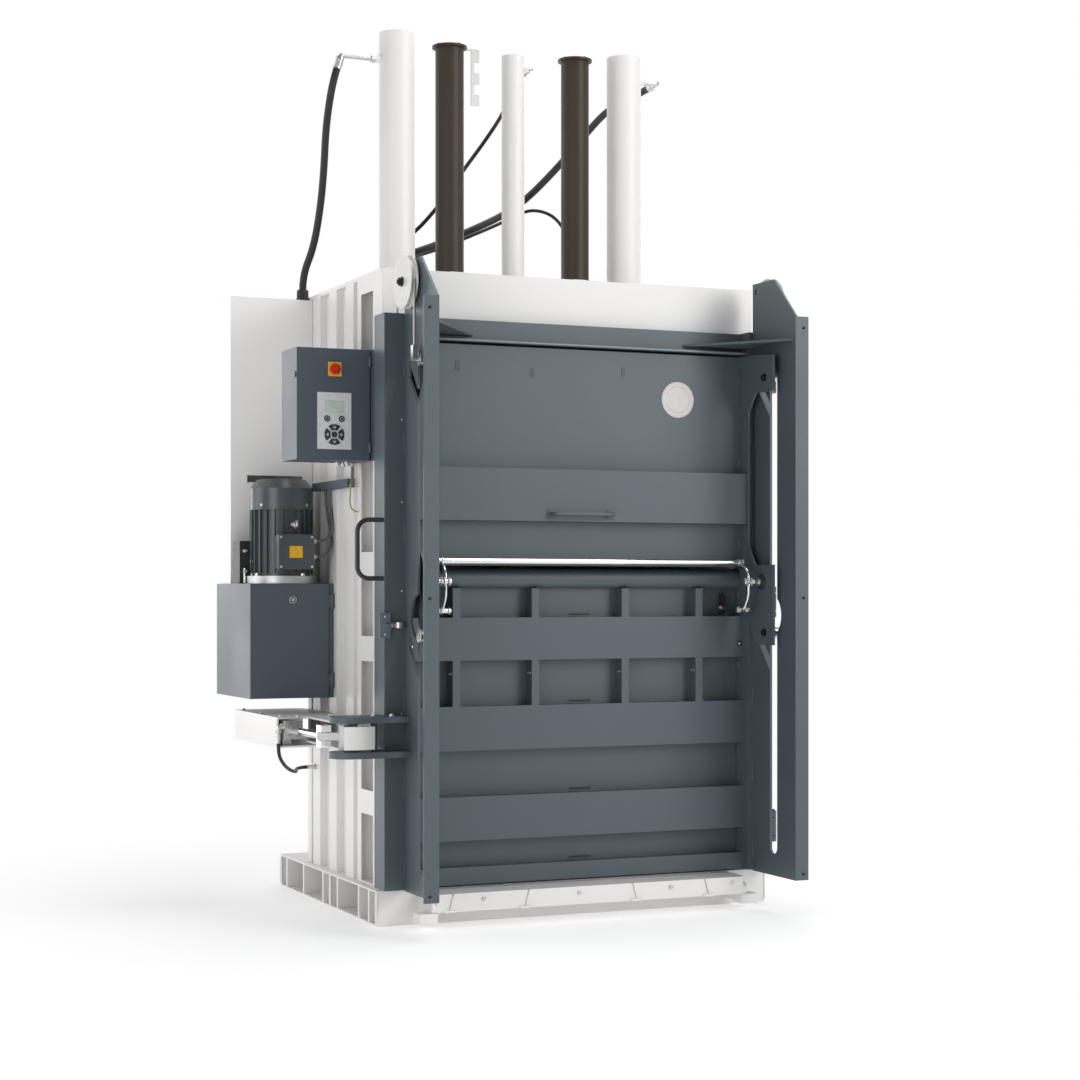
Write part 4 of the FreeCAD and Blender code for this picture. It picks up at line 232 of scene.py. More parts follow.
MATERIALS = {
    "body_white": paint("white_coat", WHITE, gloss=0.38, variation=0.018, peel=0.3),
    "door_grey": paint("grey_coat", GREY, gloss=0.40, variation=0.06, rounding=0.0022),
    "tube_brown": paint("brown_coat", BROWN, gloss=0.44, variation=0.09, Specular_IOR_Level=0.35),
    "cabinet_grey": paint("cabinet_coat", (0.080, 0.099, 0.124), gloss=0.46, variation=0.05, peel=0.7),
    "guard_black": paint("black_coat", (0.026, 0.029, 0.033), gloss=0.40, variation=0.12),
    "motor_grey": paint("motor_coat", (0.072, 0.084, 0.090), gloss=0.28, variation=0.10, peel=0.8),
    "bright_steel": metal("zinc_plate", ZINC, rough=0.30, streaks=(1.0, 1.0, 0.2)),
    "chrome_rod": metal(
        "hard_chrome", (0.80, 0.80, 0.81), rough=0.10, streaks=(1.0, 1.0, 0.05), variation=0.03, grain=0.1,
    ),
    "weight_iron": metal("cast_iron", (0.19, 0.18, 0.17), rough=0.62, variation=0.25, grain=1.0),
    "wire_steel": banded(
        "wire_rope", (0.34, 0.34, 0.34), (0.62, 0.62, 0.60), scale=260.0, tilt=(0.7, 0.7, 0.0), rough=0.34,
        metallic=1.0,
    ),
    "flange_alloy": metal("cast_alloy", (0.62, 0.63, 0.64), rough=0.42, variation=0.10, grain=0.7),
    "fan_plastic": plastic("fan_black", (0.020, 0.020, 0.021), rough=0.5),
    "switch_red": plastic("switch_red", (0.60, 0.026, 0.012), rough=0.30),
    "keypad_film": plastic("keypad_film", (0.70, 0.71, 0.71), rough=0.45, Coat_Weight=0.15),
    "pulley_white": plastic("pulley_nylon", (0.72, 0.71, 0.68), rough=0.36, Subsurface_Weight=0.05),
    "hose_rubber": wrapped_rubber("hose_rubber", (0.014, 0.014, 0.015), rough=0.46),
    "cable_grey": plastic("cable_sheath", (0.110, 0.114, 0.120), rough=0.36, grain=0.5),
}
CAP_COAT = part_plated("cap_coat", BROWN, DULL_ZINC, STRIP_SPAN, gloss=0.44, Specular_IOR_Level=0.35)
LATCH_COAT = part_plated("latch_coat", shade(GREY, 1.5), ZINC, EYE_SPAN, gloss=0.36)
# The valve cabinet's white is brighter than the body's white: painted light that stands in for more light
# falling on the cabinet.
LIT_CABINET_WHITE = paint("cabinet_white_painted_light", (0.920, 0.908, 0.898), gloss=0.38, variation=0.012, peel=0.3)
# Door grey made 2.6 times lighter for the header lip's edge bead: a painted highlight.
HIGHLIGHT_EDGE_COAT = paint("painted_highlight_edge", shade(GREY, 2.6), gloss=0.30, variation=0.08)
YELLOW = plastic("yellow_plate", (0.83, 0.46, 0.015), rough=0.38)
LABEL = plastic("label_film", (0.66, 0.62, 0.62), rough=0.42)
LABEL_RING = plastic("label_ring", (0.56, 0.50, 0.50), rough=0.42)
DISPLAY = plastic("display_window", (0.58, 0.67, 0.59), rough=0.22, grain=0.05, Coat_Weight=0.6)
KEY = plastic("key_rubber", (0.040, 0.044, 0.050), rough=0.48)
KEY_MARK = plastic("key_mark", (0.55, 0.56, 0.57), rough=0.45)
EARTH = banded(
    "earth_sheath", (0.55, 0.50, 0.02), (0.08, 0.34, 0.03), scale=55.0, tilt=(0.0, 1.2, 0.6), rough=0.40,
)
BLACK_ZINC = metal("black_steel", (0.045, 0.046, 0.048), rough=0.42, variation=0.3, grain=0.5)

# Nodes that wear something other than their slot's material.
NODE_COATS = {
    "tube_caps": CAP_COAT,
    "eyebolt_bracket": LATCH_COAT,
    # painted light: the valve cabinet wears a brighter copy of the body's white
    "valve_cabinet": LIT_CABINET_WHITE,
    "door_handle": MATERIALS["guard_black"],
    "lock_plates": MATERIALS["door_grey"],
}


# ---- mesh tools

def circle(radius, sides=32, centre=(0.0, 0.0), start=0.0, end=math.tau):
    """Points of a circle, or of an arc where the end isn't a full turn on."""
    middle_x, middle_y = centre
    full = abs(end - start - math.tau) < 1e-6
    steps = sides if full else sides - 1
    angles = [start + (end - start) * index / steps for index in range(sides)]
    return [(middle_x + radius * math.cos(angle), middle_y + radius * math.sin(angle)) for angle in angles]


def rounded(width, height, radius, steps=5):
    """A rectangle with rounded corners, about its middle."""
    points = []
    for quarter, (side, rise) in enumerate(((1, 1), (-1, 1), (-1, -1), (1, -1))):
        centre = (side * (width / 2 - radius), rise * (height / 2 - radius))
        start = quarter * math.pi / 2
        points += circle(radius, steps, centre, start, start + math.pi / 2)
    return points


def aim(point, axis, spin=0.0):
    """A frame at a point, its Z along an axis."""
    turn = Vector(axis).to_track_quat("Z", "Y").to_matrix().to_4x4()
    return Matrix.Translation(Vector(point)) @ turn @ Matrix.Rotation(spin, 4, "Z")


def front(point):
    """A frame on a face that looks to the front: its X to the right, its Y up, its Z out."""
    return Matrix.Translation(Vector(point)) @ Matrix.Rotation(math.pi / 2, 4, "X")


def sideways(across, side):
    """A frame across the machine: its X to the back, its Y up, its Z to the left (-1) or the right (1)."""
    return Matrix(((0, 0, side, across), (1, 0, 0, 0), (0, 1, 0, 0), (0, 0, 0, 1)))


def around_axis(count, start=0.0):
    """Even headings round Z, as unit vectors."""
    turns = [index * math.tau / count + start for index in range(count)]
    return [Vector((math.cos(turn), math.sin(turn), 0.0)) for turn in turns]


def tube_skin(shape, rings):
    """Side and end faces of a closed solid between rings of points."""
    for low, high in zip(rings, rings[1:]):
        for index in range(len(low)):
            shape.faces.new((low[index - 1], low[index], high[index], high[index - 1]))
    shape.faces.new(rings[0])
    shape.faces.new(rings[-1])


HEXAGON = 6
HEX_REACH = 0.93  # a hexagon's corner radius on a fastener of size 1
SEAM = 0.0025  # radius of the usual weld seam


def new_object(name, data):
    """An object in the scene."""
    item = bpy.data.objects.new(name, data)
    bpy.context.scene.collection.objects.link(item)
    return item


class Piece:
    """One object put together from turned, extruded and swept shapes."""

    def __init__(self, name):
        self.name = name
        self.mesh = bmesh.new()

    def take(self, shape, place):
        """Move a finished shape to its place and add it."""
        bmesh.ops.recalc_face_normals(shape, faces=shape.faces)
        shape.transform(place)
        carrier = bpy.data.meshes.new("carrier")
        shape.to_mesh(carrier)
        shape.free()
        self.mesh.from_mesh(carrier)
        bpy.data.meshes.remove(carrier)

    def turned(self, profile, place, sides=24):
        """A closed solid turned about Z from pairs of radius and height."""
        shape = bmesh.new()
        rings = []
        for radius, height in profile:
            rings.append([shape.verts.new((x, y, height)) for x, y in circle(radius, sides)])
        tube_skin(shape, rings)
        self.take(shape, place)

    def ring(self, inner, outer, depth, place, sides=32, lip=0.0):
        """A flat ring, its outer edge eased by a lip."""
        section = (
            (inner, 0.0), (outer, 0.0), (outer, depth - lip), (outer - lip, depth), (inner, depth),
        )
        shape = bmesh.new()
        loops = []
        for radius, height in section:
            loops.append([shape.verts.new((x, y, height)) for x, y in circle(radius, sides)])
        for index in range(sides):
            for low, high in zip(loops, loops[1:] + loops[:1]):
                shape.faces.new((low[index - 1], low[index], high[index], high[index - 1]))
        self.take(shape, place)

    def extruded(self, outline, depth, place, holes=(), ease=0.0):
        """A flat shape, with holes or eased edges, raised from its frame's XY plane."""
        shape = bmesh.new()
        edges = []
        for loop in (outline, *holes):
            points = [shape.verts.new((x, y, 0.0)) for x, y in loop]
            edges += [shape.edges.new((points[index - 1], points[index])) for index in range(len(points))]
        filled = bmesh.ops.triangle_fill(shape, use_beauty=True, edges=edges)["geom"]
        faces = [item for item in filled if isinstance(item, bmesh.types.BMFace)]
        raised = bmesh.ops.extrude_face_region(shape, geom=faces)["geom"]
        tops = [item for item in raised if isinstance(item, bmesh.types.BMVert)]
        bmesh.ops.translate(shape, vec=(0.0, 0.0, depth), verts=tops)
        if ease:
            rim = [edge for edge in shape.edges if len(edge.link_faces) == 2 and edge.calc_face_angle() > 0.6]
            rim = [edge for edge in rim if all(abs(point.co.z - depth) < 1e-7 for point in edge.verts)]
            bmesh.ops.bevel(shape, geom=rim, offset=ease, segments=2, affect="EDGES", profile=0.5)
        self.take(shape, place)

    def bead(self, start, end, radius):
        """A weld bead between two points: a tube with ripples and tapered ends."""
        start, end = Vector(start), Vector(end)
        length = (end - start).length
        pitch = radius * 1.5
        taper_length = radius * 8
        steps = max(6, int(length / pitch * 4))
        shape = bmesh.new()
        rings = []
        for step in range(steps + 1):
            share = step / steps
            ripple = 1.0 - 0.16 * abs(math.sin(math.pi * share * length / pitch))
            taper = min(1.0, 0.35 + 4.0 * min(share, 1 - share) * length / taper_length)
            across = radius * ripple * taper
            rings.append([shape.verts.new((x, y, share * length)) for x, y in circle(across, 8)])
        tube_skin(shape, rings)
        self.take(shape, aim(start, end - start))

    def stitches(self, starts, step, radius):
        """Weld beads of one length and direction, each from its own start."""
        for start in starts:
            self.bead(start, [place + part for place, part in zip(start, step)], radius)

    def hex_bolt(self, point, axis, size, washer=True, spin=0.3):
        """A hexagon head with its washer, standing on a point."""
        place = aim(point, axis, spin)
        base = 0.0
        if washer:
            self.ring(size * 0.45, size * 1.1, size * 0.18, place, 24, size * 0.04)
            base = size * 0.18
        wide = size * HEX_REACH
        head = [
            (wide * 0.9, base), (wide, base + size * 0.05), (wide, base + size * 0.55),
            (wide * 0.86, base + size * 0.66),
        ]
        crown = [
            (wide * 0.80, base + size * 0.5), (wide * 0.80, base + size * 0.67),
            (wide * 0.7, base + size * 0.69),
        ]
        self.turned(head, place, HEXAGON)
        self.turned(crown, place, 20)

    def screw(self, point, axis, size):
        """A domed screw head with a hexagon socket."""
        place = aim(point, axis)
        dome = [
            (size, 0.0), (size, size * 0.25), (size * 0.92, size * 0.50), (size * 0.70, size * 0.66),
            (size * 0.48, size * 0.70),
        ]
        top = place @ Matrix.Translation((0, 0, size * 0.66))
        self.turned(dome, place, 20)
        self.ring(size * 0.36, size * 0.50, size * 0.08, top, HEXAGON)

    def nut(self, point, axis, size, stud=True):
        """A nut on its washer with the end of its stud."""
        place = aim(point, axis, 0.5)
        self.ring(size * 0.45, size * 1.15, size * 0.16, place, 24, size * 0.04)
        wide = size * HEX_REACH
        body = [
            (wide * 0.88, size * 0.16), (wide, size * 0.24), (wide, size * 0.82),
            (wide * 0.88, size * 0.92),
        ]
        self.turned(body, place, HEXAGON)
        if stud:
            end = [(size * 0.46, size * 0.5), (size * 0.46, size * 1.15), (size * 0.38, size * 1.22)]
            self.turned(end, place, 16)

    def done(self, body, slot, material=None, replaces=(), far_body=None):
        """The finished object in its slot's material or another, on its body, or left unattached where a far
        body is given.
        """
        mesh = bpy.data.meshes.new(self.name)
        self.mesh.to_mesh(mesh)
        self.mesh.free()
        for polygon in mesh.polygons:
            polygon.use_smooth = True
        mesh.set_sharp_from_angle(angle=math.radians(35.0))
        mesh.materials.append(material or MATERIALS[slot])
        item = new_object(self.name, mesh)
        if far_body:
            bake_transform(item)
        else:
            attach(item, body)
        if replaces:
            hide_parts(*replaces)
        return item


# ---- CAD nodes

def dress_nodes():
    """Give each solid of the model its finish."""
    for part in frame["record"]["subparts"]:
        node = part["node"]
        surfaces = frame["nodes"][node].data.materials
        surfaces.clear()
        surfaces.append(NODE_COATS.get(node, MATERIALS[part["material_slot"]]))


# ---- hoses and cables

# Points in millimetres, as in the part's source.
ROUTES = {
    "left_hose": [
        (-645, 26, 2886), (-661, 26, 2838), (-671, 50, 2764), (-669, 105, 2660), (-659, 155, 2535),
        (-656, 205, 2408), (-666, 252, 2275), (-693, 294, 2182), (-693, 294, 2122),
    ],
    "right_hose": [
        (575, 58, 2920), (575, 112, 2920), (560, 166, 2908), (520, 213, 2886), (463, 238, 2849),
        (397, 240, 2778), (285, 240, 2645), (143, 240, 2500), (39, 230, 2429), (-108, 215, 2358),
        (-224, 200, 2305), (-301, 190, 2276), (-354, 183, 2254), (-394, 178, 2214), (-416, 175, 2161),
        (-416, 175, 2112),
    ],
    "centre_hose": [
        (74, 46, 2925), (74, 78, 2925), (72, 109, 2917), (65, 135, 2897), (53, 151, 2869),
        (33, 156, 2827), (7, 153, 2775), (-61, 150, 2676), (-134, 150, 2579), (-191, 150, 2496),
        (-244, 150, 2425), (-315, 150, 2345), (-389, 150, 2290), (-432, 150, 2238), (-455, 150, 2174),
        (-455, 150, 2112),
    ],
    "link_hose": [
        (-398, 215, 2112), (-398, 215, 2156), (-390, 216, 2200), (-362, 219, 2236), (-300, 224, 2262),
        (-214, 230, 2292), (-98, 240, 2343), (45, 252, 2408), (143, 244, 2462), (195, 224, 2461),
        (240, 208, 2440), (272, 198, 2400), (294, 191, 2348), (304, 188, 2285), (308, 187, 2200),
        (308, 187, 2112),
    ],
    "lock_hose": [
        (-922, -174, 600), (-922, -174, 560), (-912, -150, 520), (-880, -105, 487), (-840, -40, 465),
        (-800, 30, 453), (-775, 105, 450), (-757, 165, 451), (-738, 188, 453), (-710, 201, 454),
        (-682, 201, 454),
    ],
    "motor_cable": [
        (-751, -15, 1235), (-722, -15, 1235), (-697, -14, 1249), (-683, -11, 1275), (-681, 2, 1318),
        (-684, 14, 1359), (-685, 16, 1386), (-685, 16, 1412),
    ],
    "brake_cable": [
        (-751, -15, 1183), (-722, -15, 1183), (-697, -13, 1197), (-683, -6, 1223), (-681, 12, 1262),
        (-681, 36, 1312), (-684, 52, 1356), (-685, 56, 1384), (-685, 56, 1412),
    ],
    "control_cable": [
        (-710, -305, 1489), (-710, -305, 1459), (-706, -291, 1433), (-699, -266, 1418), (-692, -243, 1418),
        (-692, -221, 1418),
    ],
    "earth_wire": [
        (-696, -262, 1489), (-696, -262, 1454), (-702, -262, 1416), (-704, -262, 1380), (-704, -262, 1350),
        (-697, -262, 1336), (-685, -262, 1329), (-674, -262, 1329),
    ],
}

CORDS = (
    # name, CAD node, diameter and length in millimetres, stiffness, material slot
    ("left_hose", "left_hose", 26, 823, "stiff", "hose_rubber"),
    ("right_hose", "right_hose", 26, 1440, "stiff", "hose_rubber"),
    ("centre_hose", "thin_hoses", 14, 1061, "stiff", "hose_rubber"),
    ("link_hose", "thin_hoses", 12, 1138, "stiff", "hose_rubber"),
    ("lock_hose", "lock_hose", 12, 540, "stiff", "hose_rubber"),
    ("motor_cable", "power_cables", 10, 226, "medium", "cable_grey"),
    ("brake_cable", "power_cables", 10, 288, "medium", "cable_grey"),
    ("control_cable", "power_cables", 10, 134, "medium", "cable_grey"),
    ("earth_wire", "power_cables", 5, 179, "medium", "cable_grey"),
)
FERRULE = 0.034  # length of a crimped sleeve
FERRULE_RIBS = 5


def ferrule(name, ends, radius):
    """The crimped sleeves at a hose's ends."""
    mouth, valley, crest = radius * 1.02, radius * 1.16, radius * 1.26
    profile = [(mouth, 0.0), (crest, 0.001)]
    for index in range(FERRULE_RIBS):
        height = 0.002 + index * (FERRULE - 0.006) / FERRULE_RIBS
        profile += [
            (crest, height), (valley, height + 0.0012), (valley, height + 0.0024),
            (crest, height + 0.0036),
        ]
    profile += [(crest, FERRULE - 0.001), (mouth, FERRULE)]
    piece = Piece(name)
    for end, inner in ends:
        piece.turned(profile, aim(end, inner - end))
    return piece.done("root", "bright_steel")


def lay_cords():
    """The hoses, the cables and the earth wire, each on one smooth line."""
    for name, node, across, length, stiffness, slot in CORDS:
        points = [Vector(point) * MM for point in ROUTES[name]]
        curve = bpy.data.curves.new(f"{name}_line", "CURVE")
        curve.dimensions = "3D"
        spline = curve.splines.new("NURBS")
        spline.points.add(len(points) - 1)
        for target, point in zip(spline.points, points):
            target.co = (*point, 1.0)
        spline.order_u = 3
        spline.use_endpoint_u = True
        spline.resolution_u = 12
        curve.bevel_depth = across * MM / 2
        curve.bevel_resolution = 6
        curve.use_fill_caps = True
        curve.materials.append(EARTH if name == "earth_wire" else MATERIALS[slot])
        item = new_object(f"{name}_cord", curve)
        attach(item, "root")
        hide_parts(node)
        ends = [(points[0], points[1]), (points[-1], points[-2])]
        if name == "left_hose":
            ends.pop()  # the grommet holds this end
        sleeves = [ferrule(f"{name}_ferrules", ends, across * MM / 2)] if slot == "hose_rubber" else []


def lay_lift_cables():
    """Steel cables from the pulleys down to the flap and to the weights.

    They have many rings along them, and are not attached to the flap or the weights.
    """
    steps = 60
    for node, far_body in (("lift_cables", "feed_flap"), ("return_cables", "counterweight_pair")):
        low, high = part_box(node)
        radius = (high.y - low.y) / 2
        length = high.z - low.z
        cables = Piece(f"{node}_wires")
        profile = [(radius, length * step / steps) for step in range(steps + 1)]
        for side in (-1, 1):
            foot = Vector((side * (high.x - radius), (low.y + high.y) / 2, low.z))
            cables.turned(profile, aim(foot, Z), 16)
        cables.done("main_door", "wire_steel", replaces=(node,), far_body=far_body)


def grommet():
    """The rubber sleeve where the left hose goes into the valve cabinet."""
    sleeve = Piece("hose_grommet")
    profile = [(0.026, 0.0), (0.026, 0.004), (0.0215, 0.007), (0.0205, 0.034), (0.0185, 0.037)]
    sleeve.turned(profile, aim((-0.693, 0.294, 2.092), Z), 32)
    sleeve.done("root", "fan_plastic")


# ---- the door and its flap

# Pairs of heights are Z, low and high. A face is the Y of a surface that looks to the front.
DOOR_BANDS = ((0.121, 0.177), (0.262, 0.404), (0.552, 0.695), (0.843, 0.982))
TOP_RECESS = (0.982, 1.077)
STIFFENERS = (-0.440, -0.163, 0.163, 0.440)
POST_EDGE = 0.608
SKIN_FACE = -0.500
RIB_FACE = -0.550
FLAP_FACE = -0.559
FLAP_RIB_FACE = -0.609
FLAP_RIB = (1.294, 1.464)
FLAP_EDGE = 0.588
GRIP_ENDS = (-0.1335, 0.0775)
GRIP_LEVEL = 1.318
DISC_AT = (0.354, 1.710)  # X and Z of the bare round disc
BAR = (-0.655, 1.163)  # Y and Z of the handle bar, of its levers' pivots and of their lower pins
PIVOT = (-0.712, 1.098)
CATCH_PIN = (-0.680, 1.005)
SLOT_LINE = -0.7315
ROLLER_LEVELS = (0.930, 1.779)
AXLE = (-0.6535, 2.036)  # Y and Z of the pulleys' axles
POST_FACE = -0.590
CHEEK_FRONT = -0.876
EYE_LEVEL = 0.889


def dress_flap():
    """The bare round disc, small tabs and weld seams on the feed flap."""
    across, level = DISC_AT
    disc = Piece("flap_disc")
    disc.extruded(circle(0.060, 56), 0.0006, front((across, FLAP_FACE, level)))
    disc.done("feed_flap", "keypad_film", LABEL)
    rings = Piece("flap_disc_ring")
    for inner, outer in ((0.042, 0.045), (0.0565, 0.058)):
        rings.ring(inner, outer, 0.0003, front((across, FLAP_FACE - 0.0006, level)), 56)
    rings.done("feed_flap", "keypad_film", LABEL_RING)

    tabs = Piece("flap_tabs")
    tab, window = rounded(0.012, 0.030, 0.002), rounded(0.007, 0.024, 0.001)
    for across, level in ((-0.442, 1.794), (-0.180, 1.779), (0.150, 1.795)):
        tabs.extruded(tab, 0.0012, front((across, FLAP_FACE, level)), [window])
    pad = rounded(0.030, 0.030, 0.006)
    for across in GRIP_ENDS:
        tabs.extruded(pad, 0.003, front((across, FLAP_RIB_FACE, GRIP_LEVEL)), ease=0.001)
    tabs.done("feed_flap", "door_grey")

    seams = Piece("flap_seams")
    low, high = FLAP_RIB
    face = FLAP_FACE - 0.001
    for level in (low - 0.001, high + 0.001):
        for index in range(9):
            middle = -0.54 + index * 0.135
            seams.bead((middle - 0.020, face, level), (middle + 0.020, face, level), 0.0022)
    for edge in (-FLAP_EDGE, FLAP_EDGE):
        starts = [(edge, FLAP_FACE - 0.002, level) for level in (1.215, 1.480, 1.615, 1.770)]
        seams.stitches(starts, (0.0, 0.0, 0.034), 0.0034)
    seams.done("feed_flap", "door_grey")


def dress_handle():
    """Collars, nuts, pivot discs and roller bolts of the flap's handle bar and its side plates."""
    bright = Piece("lever_nuts")
    discs = Piece("pivot_discs")
    rollers = Piece("roller_bolts")
    for side in (-1, 1):
        outward = Vector((side, 0.0, 0.0))
        inward = Vector((-side, 0.0, 0.0))
        for across in (0.530, 0.545):
            bright.ring(0.0098, 0.0135, 0.004, aim((side * across, *BAR), outward), 32, 0.0008)
        bright.hex_bolt((side * 0.533, *PIVOT), inward, 0.0125)
        for across in (0.547, 0.575):
            bright.nut((side * across, *PIVOT), outward, 0.0135, stud=False)
        bright.hex_bolt((side * 0.521, *CATCH_PIN), inward, 0.0110)
        bright.nut((side * 0.5455, *CATCH_PIN), outward, 0.0125, stud=False)
        place = aim((side * 0.590, *PIVOT), inward)
        for radius, depth in ((0.026, 0.004), (0.019, 0.007)):
            discs.ring(0.0085, radius, depth, place, 40, 0.001)
        for level in ROLLER_LEVELS:
            rollers.hex_bolt((side * 0.5895, SLOT_LINE, level), inward, 0.0115)
    bright.done("flap_handle", "chrome_rod", MATERIALS["bright_steel"])
    discs.done("feed_flap", "guard_black")
    rollers.done("feed_flap", "guard_black", BLACK_ZINC)


def dress_door():
    """Weld seams, dark plates painted as the shade inside drain slots, tie eyes and catches on the lower
    door, and its header's edge bead, painted lighter as a highlight.
    """
    recesses = [(first[1], second[0]) for first, second in zip(DOOR_BANDS, DOOR_BANDS[1:])]
    recesses.append(TOP_RECESS)
    face = SKIN_FACE - 0.001
    seams = Piece("door_seams")
    for low, high in DOOR_BANDS:
        for level in (low - 0.001, high + 0.001):
            for index in range(7):
                middle = -0.54 + index * 0.18
                seams.bead((middle - 0.022, face, level), (middle + 0.022, face, level), SEAM)
    for low, high in recesses:
        middle = (low + high) / 2
        for side in (-1, 1):
            edge = side * (POST_EDGE - 0.001)
            for shift in (-0.32, 0.32):
                level = middle + shift * (high - low)
                seams.bead((edge, -0.520, level - 0.012), (edge, -0.520, level + 0.012), SEAM)
    for low, high in recesses[2:]:
        for line in STIFFENERS:
            for side in (-1, 1):
                starts = [(line + side * 0.0145, face, level) for level in (low + 0.010, high - 0.038)]
                seams.stitches(starts, (0.0, 0.0, 0.028), 0.0028)
    seams.done("main_door", "door_grey")

    # The lip's edge bead wears a lighter grey: a painted highlight along the edge.
    lip = Piece("lip_edge")
    lip.turned([(0.0046, 0.0), (0.0046, 1.214)], aim((-0.607, -0.576, 1.874), X), 16)
    lip.done("main_door", "door_grey", HIGHLIGHT_EDGE_COAT)

    # Thin dark plates on the skin at the drain slots: painted shade that stands in for the dark insides of
    # the slots.
    slot_shade = Piece("drain_slot_shade")
    opening = rounded(0.080, 0.007, 0.003)
    for low, high in recesses:
        slot_shade.extruded(opening, 0.0012, front((0.018, SKIN_FACE, low + 0.010)), ease=0.0003)
    slot_shade.done("main_door", "guard_black")

    eyes = Piece("tie_eyes")
    for line in STIFFENERS:
        for depth in (-0.520, -0.538):
            eyes.screw((line - 0.0135, depth, 0.800), LEFT, 0.0042)
    for side in (-1, 1):
        eyes.screw((side * 0.594, RIB_FACE, EYE_LEVEL), FORWARD, 0.0052)
        for level in (0.679, 1.068, 1.349, 1.610):
            eyes.screw((side * 0.641, POST_FACE, level), FORWARD, 0.0038)
    eyes.done("main_door", "bright_steel")

    catches = Piece("flap_catches")
    pins = Piece("catch_bolts")
    plate = [(-0.549, 0.987), (-0.500, 0.987), (-0.500, 1.060), (-0.520, 1.060), (-0.549, 1.030)]
    boss = [(0.012, -0.011), (0.012, -0.001), (0.006, -0.001), (0.006, 0.002)]
    hinge = (-0.536, 1.012)
    for side in (-1, 1):
        catches.extruded(plate, 0.006, sideways(side * 0.541, side), ease=0.0008)
        catches.turned(boss, aim((side * 0.541, *hinge), (side, 0, 0)), 28)
        catches.ring(0.0055, 0.0105, 0.0012, front((side * 0.594, RIB_FACE, EYE_LEVEL)), 28, 0.0003)
        pins.hex_bolt((side * 0.530, *hinge), (-side, 0, 0), 0.0075)
    catches.done("main_door", "guard_black")
    pins.done("main_door", "bright_steel")


def dress_cheeks():
    """Screws on the cheeks' folds, axle nuts and the weld stitches to the posts."""
    screws = Piece("cheek_screws")
    nuts = Piece("axle_nuts")
    seams = Piece("cheek_seams")
    for side in (-1, 1):
        for level in (0.138, 1.045, 1.931):
            screws.screw((side * 0.6545, CHEEK_FRONT, level), FORWARD, 0.0048)
        nuts.nut((side * 0.664, *AXLE), (side, 0, 0), 0.014)
        starts = [
            (side * edge, POST_FACE - 0.002, low)
            for low in (0.16, 0.42, 0.68, 0.94, 1.22, 1.50, 1.74) for edge in (0.6225, 0.6335)
        ]
        seams.stitches(starts, (0.0, 0.0, 0.070), 0.0034)
        for level in (1.891, 1.897):
            seams.bead((side * 0.6225, -0.61, level), (side * 0.6225, -0.82, level), SEAM)
    screws.done("main_door", "guard_black", BLACK_ZINC)
    nuts.done("main_door", "guard_black", BLACK_ZINC)
    seams.done("main_door", "door_grey")


# ---- controls

KEY_RISE = 0.0011
MARK_RISE = 0.0002
SMALL_KEY = 0.0105
SMALL_KEY_LEVEL = 1.621
CURSOR_LEVEL = 1.570
CURSOR_RADII = (0.0140, 0.0335)
CURSOR_GAP = 0.13  # half the angle between two cursor keys
BOX_UNDERSIDE = 1.489
GLANDS = ((-0.735, -0.330), (-0.735, -0.290), (-0.760, -0.310), (-0.710, -0.305), (-0.696, -0.262))


def dress_keypad():
    """Display, small keys and the ring of cursor keys."""
    low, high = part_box("keypad")
    middle = (low.x + high.x) / 2
    face = low.y
    window = Piece("keypad_window")
    window.extruded(rounded(0.066, 0.040, 0.003), 0.0006, front((middle, face, high.z - 0.046)), ease=0.0002)
    window.done("control_lid", "keypad_film", DISPLAY)

    keys = Piece("keypad_keys")
    marks = Piece("keypad_marks")
    for across in (middle - 0.0245, middle + 0.0245):
        keys.extruded(circle(SMALL_KEY), KEY_RISE, front((across, face, SMALL_KEY_LEVEL)), ease=0.0004)
        marks.ring(0.0045, 0.0058, MARK_RISE, front((across, face - KEY_RISE, SMALL_KEY_LEVEL)), 24)
    centre = front((middle, face, CURSOR_LEVEL))
    top = front((middle, face - KEY_RISE, CURSOR_LEVEL))
    keys.extruded(circle(SMALL_KEY), KEY_RISE, centre, ease=0.0004)
    inner, outer = CURSOR_RADII
    for index in range(4):
        turn = index * math.pi / 2
        start, end = turn - math.pi / 4 + CURSOR_GAP, turn + math.pi / 4 - CURSOR_GAP
        outline = circle(outer, 12, start=start, end=end) + circle(inner, 8, start=end, end=start)
        keys.extruded(outline, KEY_RISE, centre, ease=0.0003)
        reach = Vector((math.cos(turn), math.sin(turn)))
        aside = Vector((-reach.y, reach.x)) * 0.0058
        foot = reach * 0.0205
        arrow = [tuple(reach * 0.0285), tuple(foot + aside), tuple(foot - aside)]
        marks.extruded(arrow, MARK_RISE, top)
    keys.done("control_lid", "guard_black", KEY)
    marks.done("control_lid", "keypad_film", KEY_MARK)


def dress_controls():
    """Switch plate, keypad, cable glands and bracket screws of the control box."""
    plate = Piece("switch_plate")
    outline, bore = rounded(0.046, 0.046, 0.003), circle(0.0056, 24)
    plate.extruded(outline, 0.00025, front((-0.804, -0.408, 1.780)), [bore])
    plate.done("control_lid", "switch_red", YELLOW)

    dress_keypad()

    glands = Piece("box_glands")
    for across, depth in GLANDS:
        place = aim((across, depth, BOX_UNDERSIDE), -Z)
        glands.turned([(0.0095, -0.004), (0.0105, -0.002), (0.0105, 0.000)], place)
        glands.turned([(0.0105, 0.000), (0.0115, 0.001), (0.0115, 0.006), (0.0100, 0.0075)], place, HEXAGON)
        glands.turned([(0.0090, 0.0075), (0.0090, 0.011), (0.0068, 0.014)], place)
    glands.done("root", "bright_steel")

    screws = Piece("bracket_screws")
    for level in (1.512, 1.530, 1.806, 1.824):
        screws.hex_bolt((-0.690, -0.484, level), FORWARD, 0.0050, washer=False)
    screws.done("root", "bright_steel")


# ---- power pack

MOTOR_AXIS = Vector((-0.822, 0.123, 0.0))
TANK_TOP = 1.093


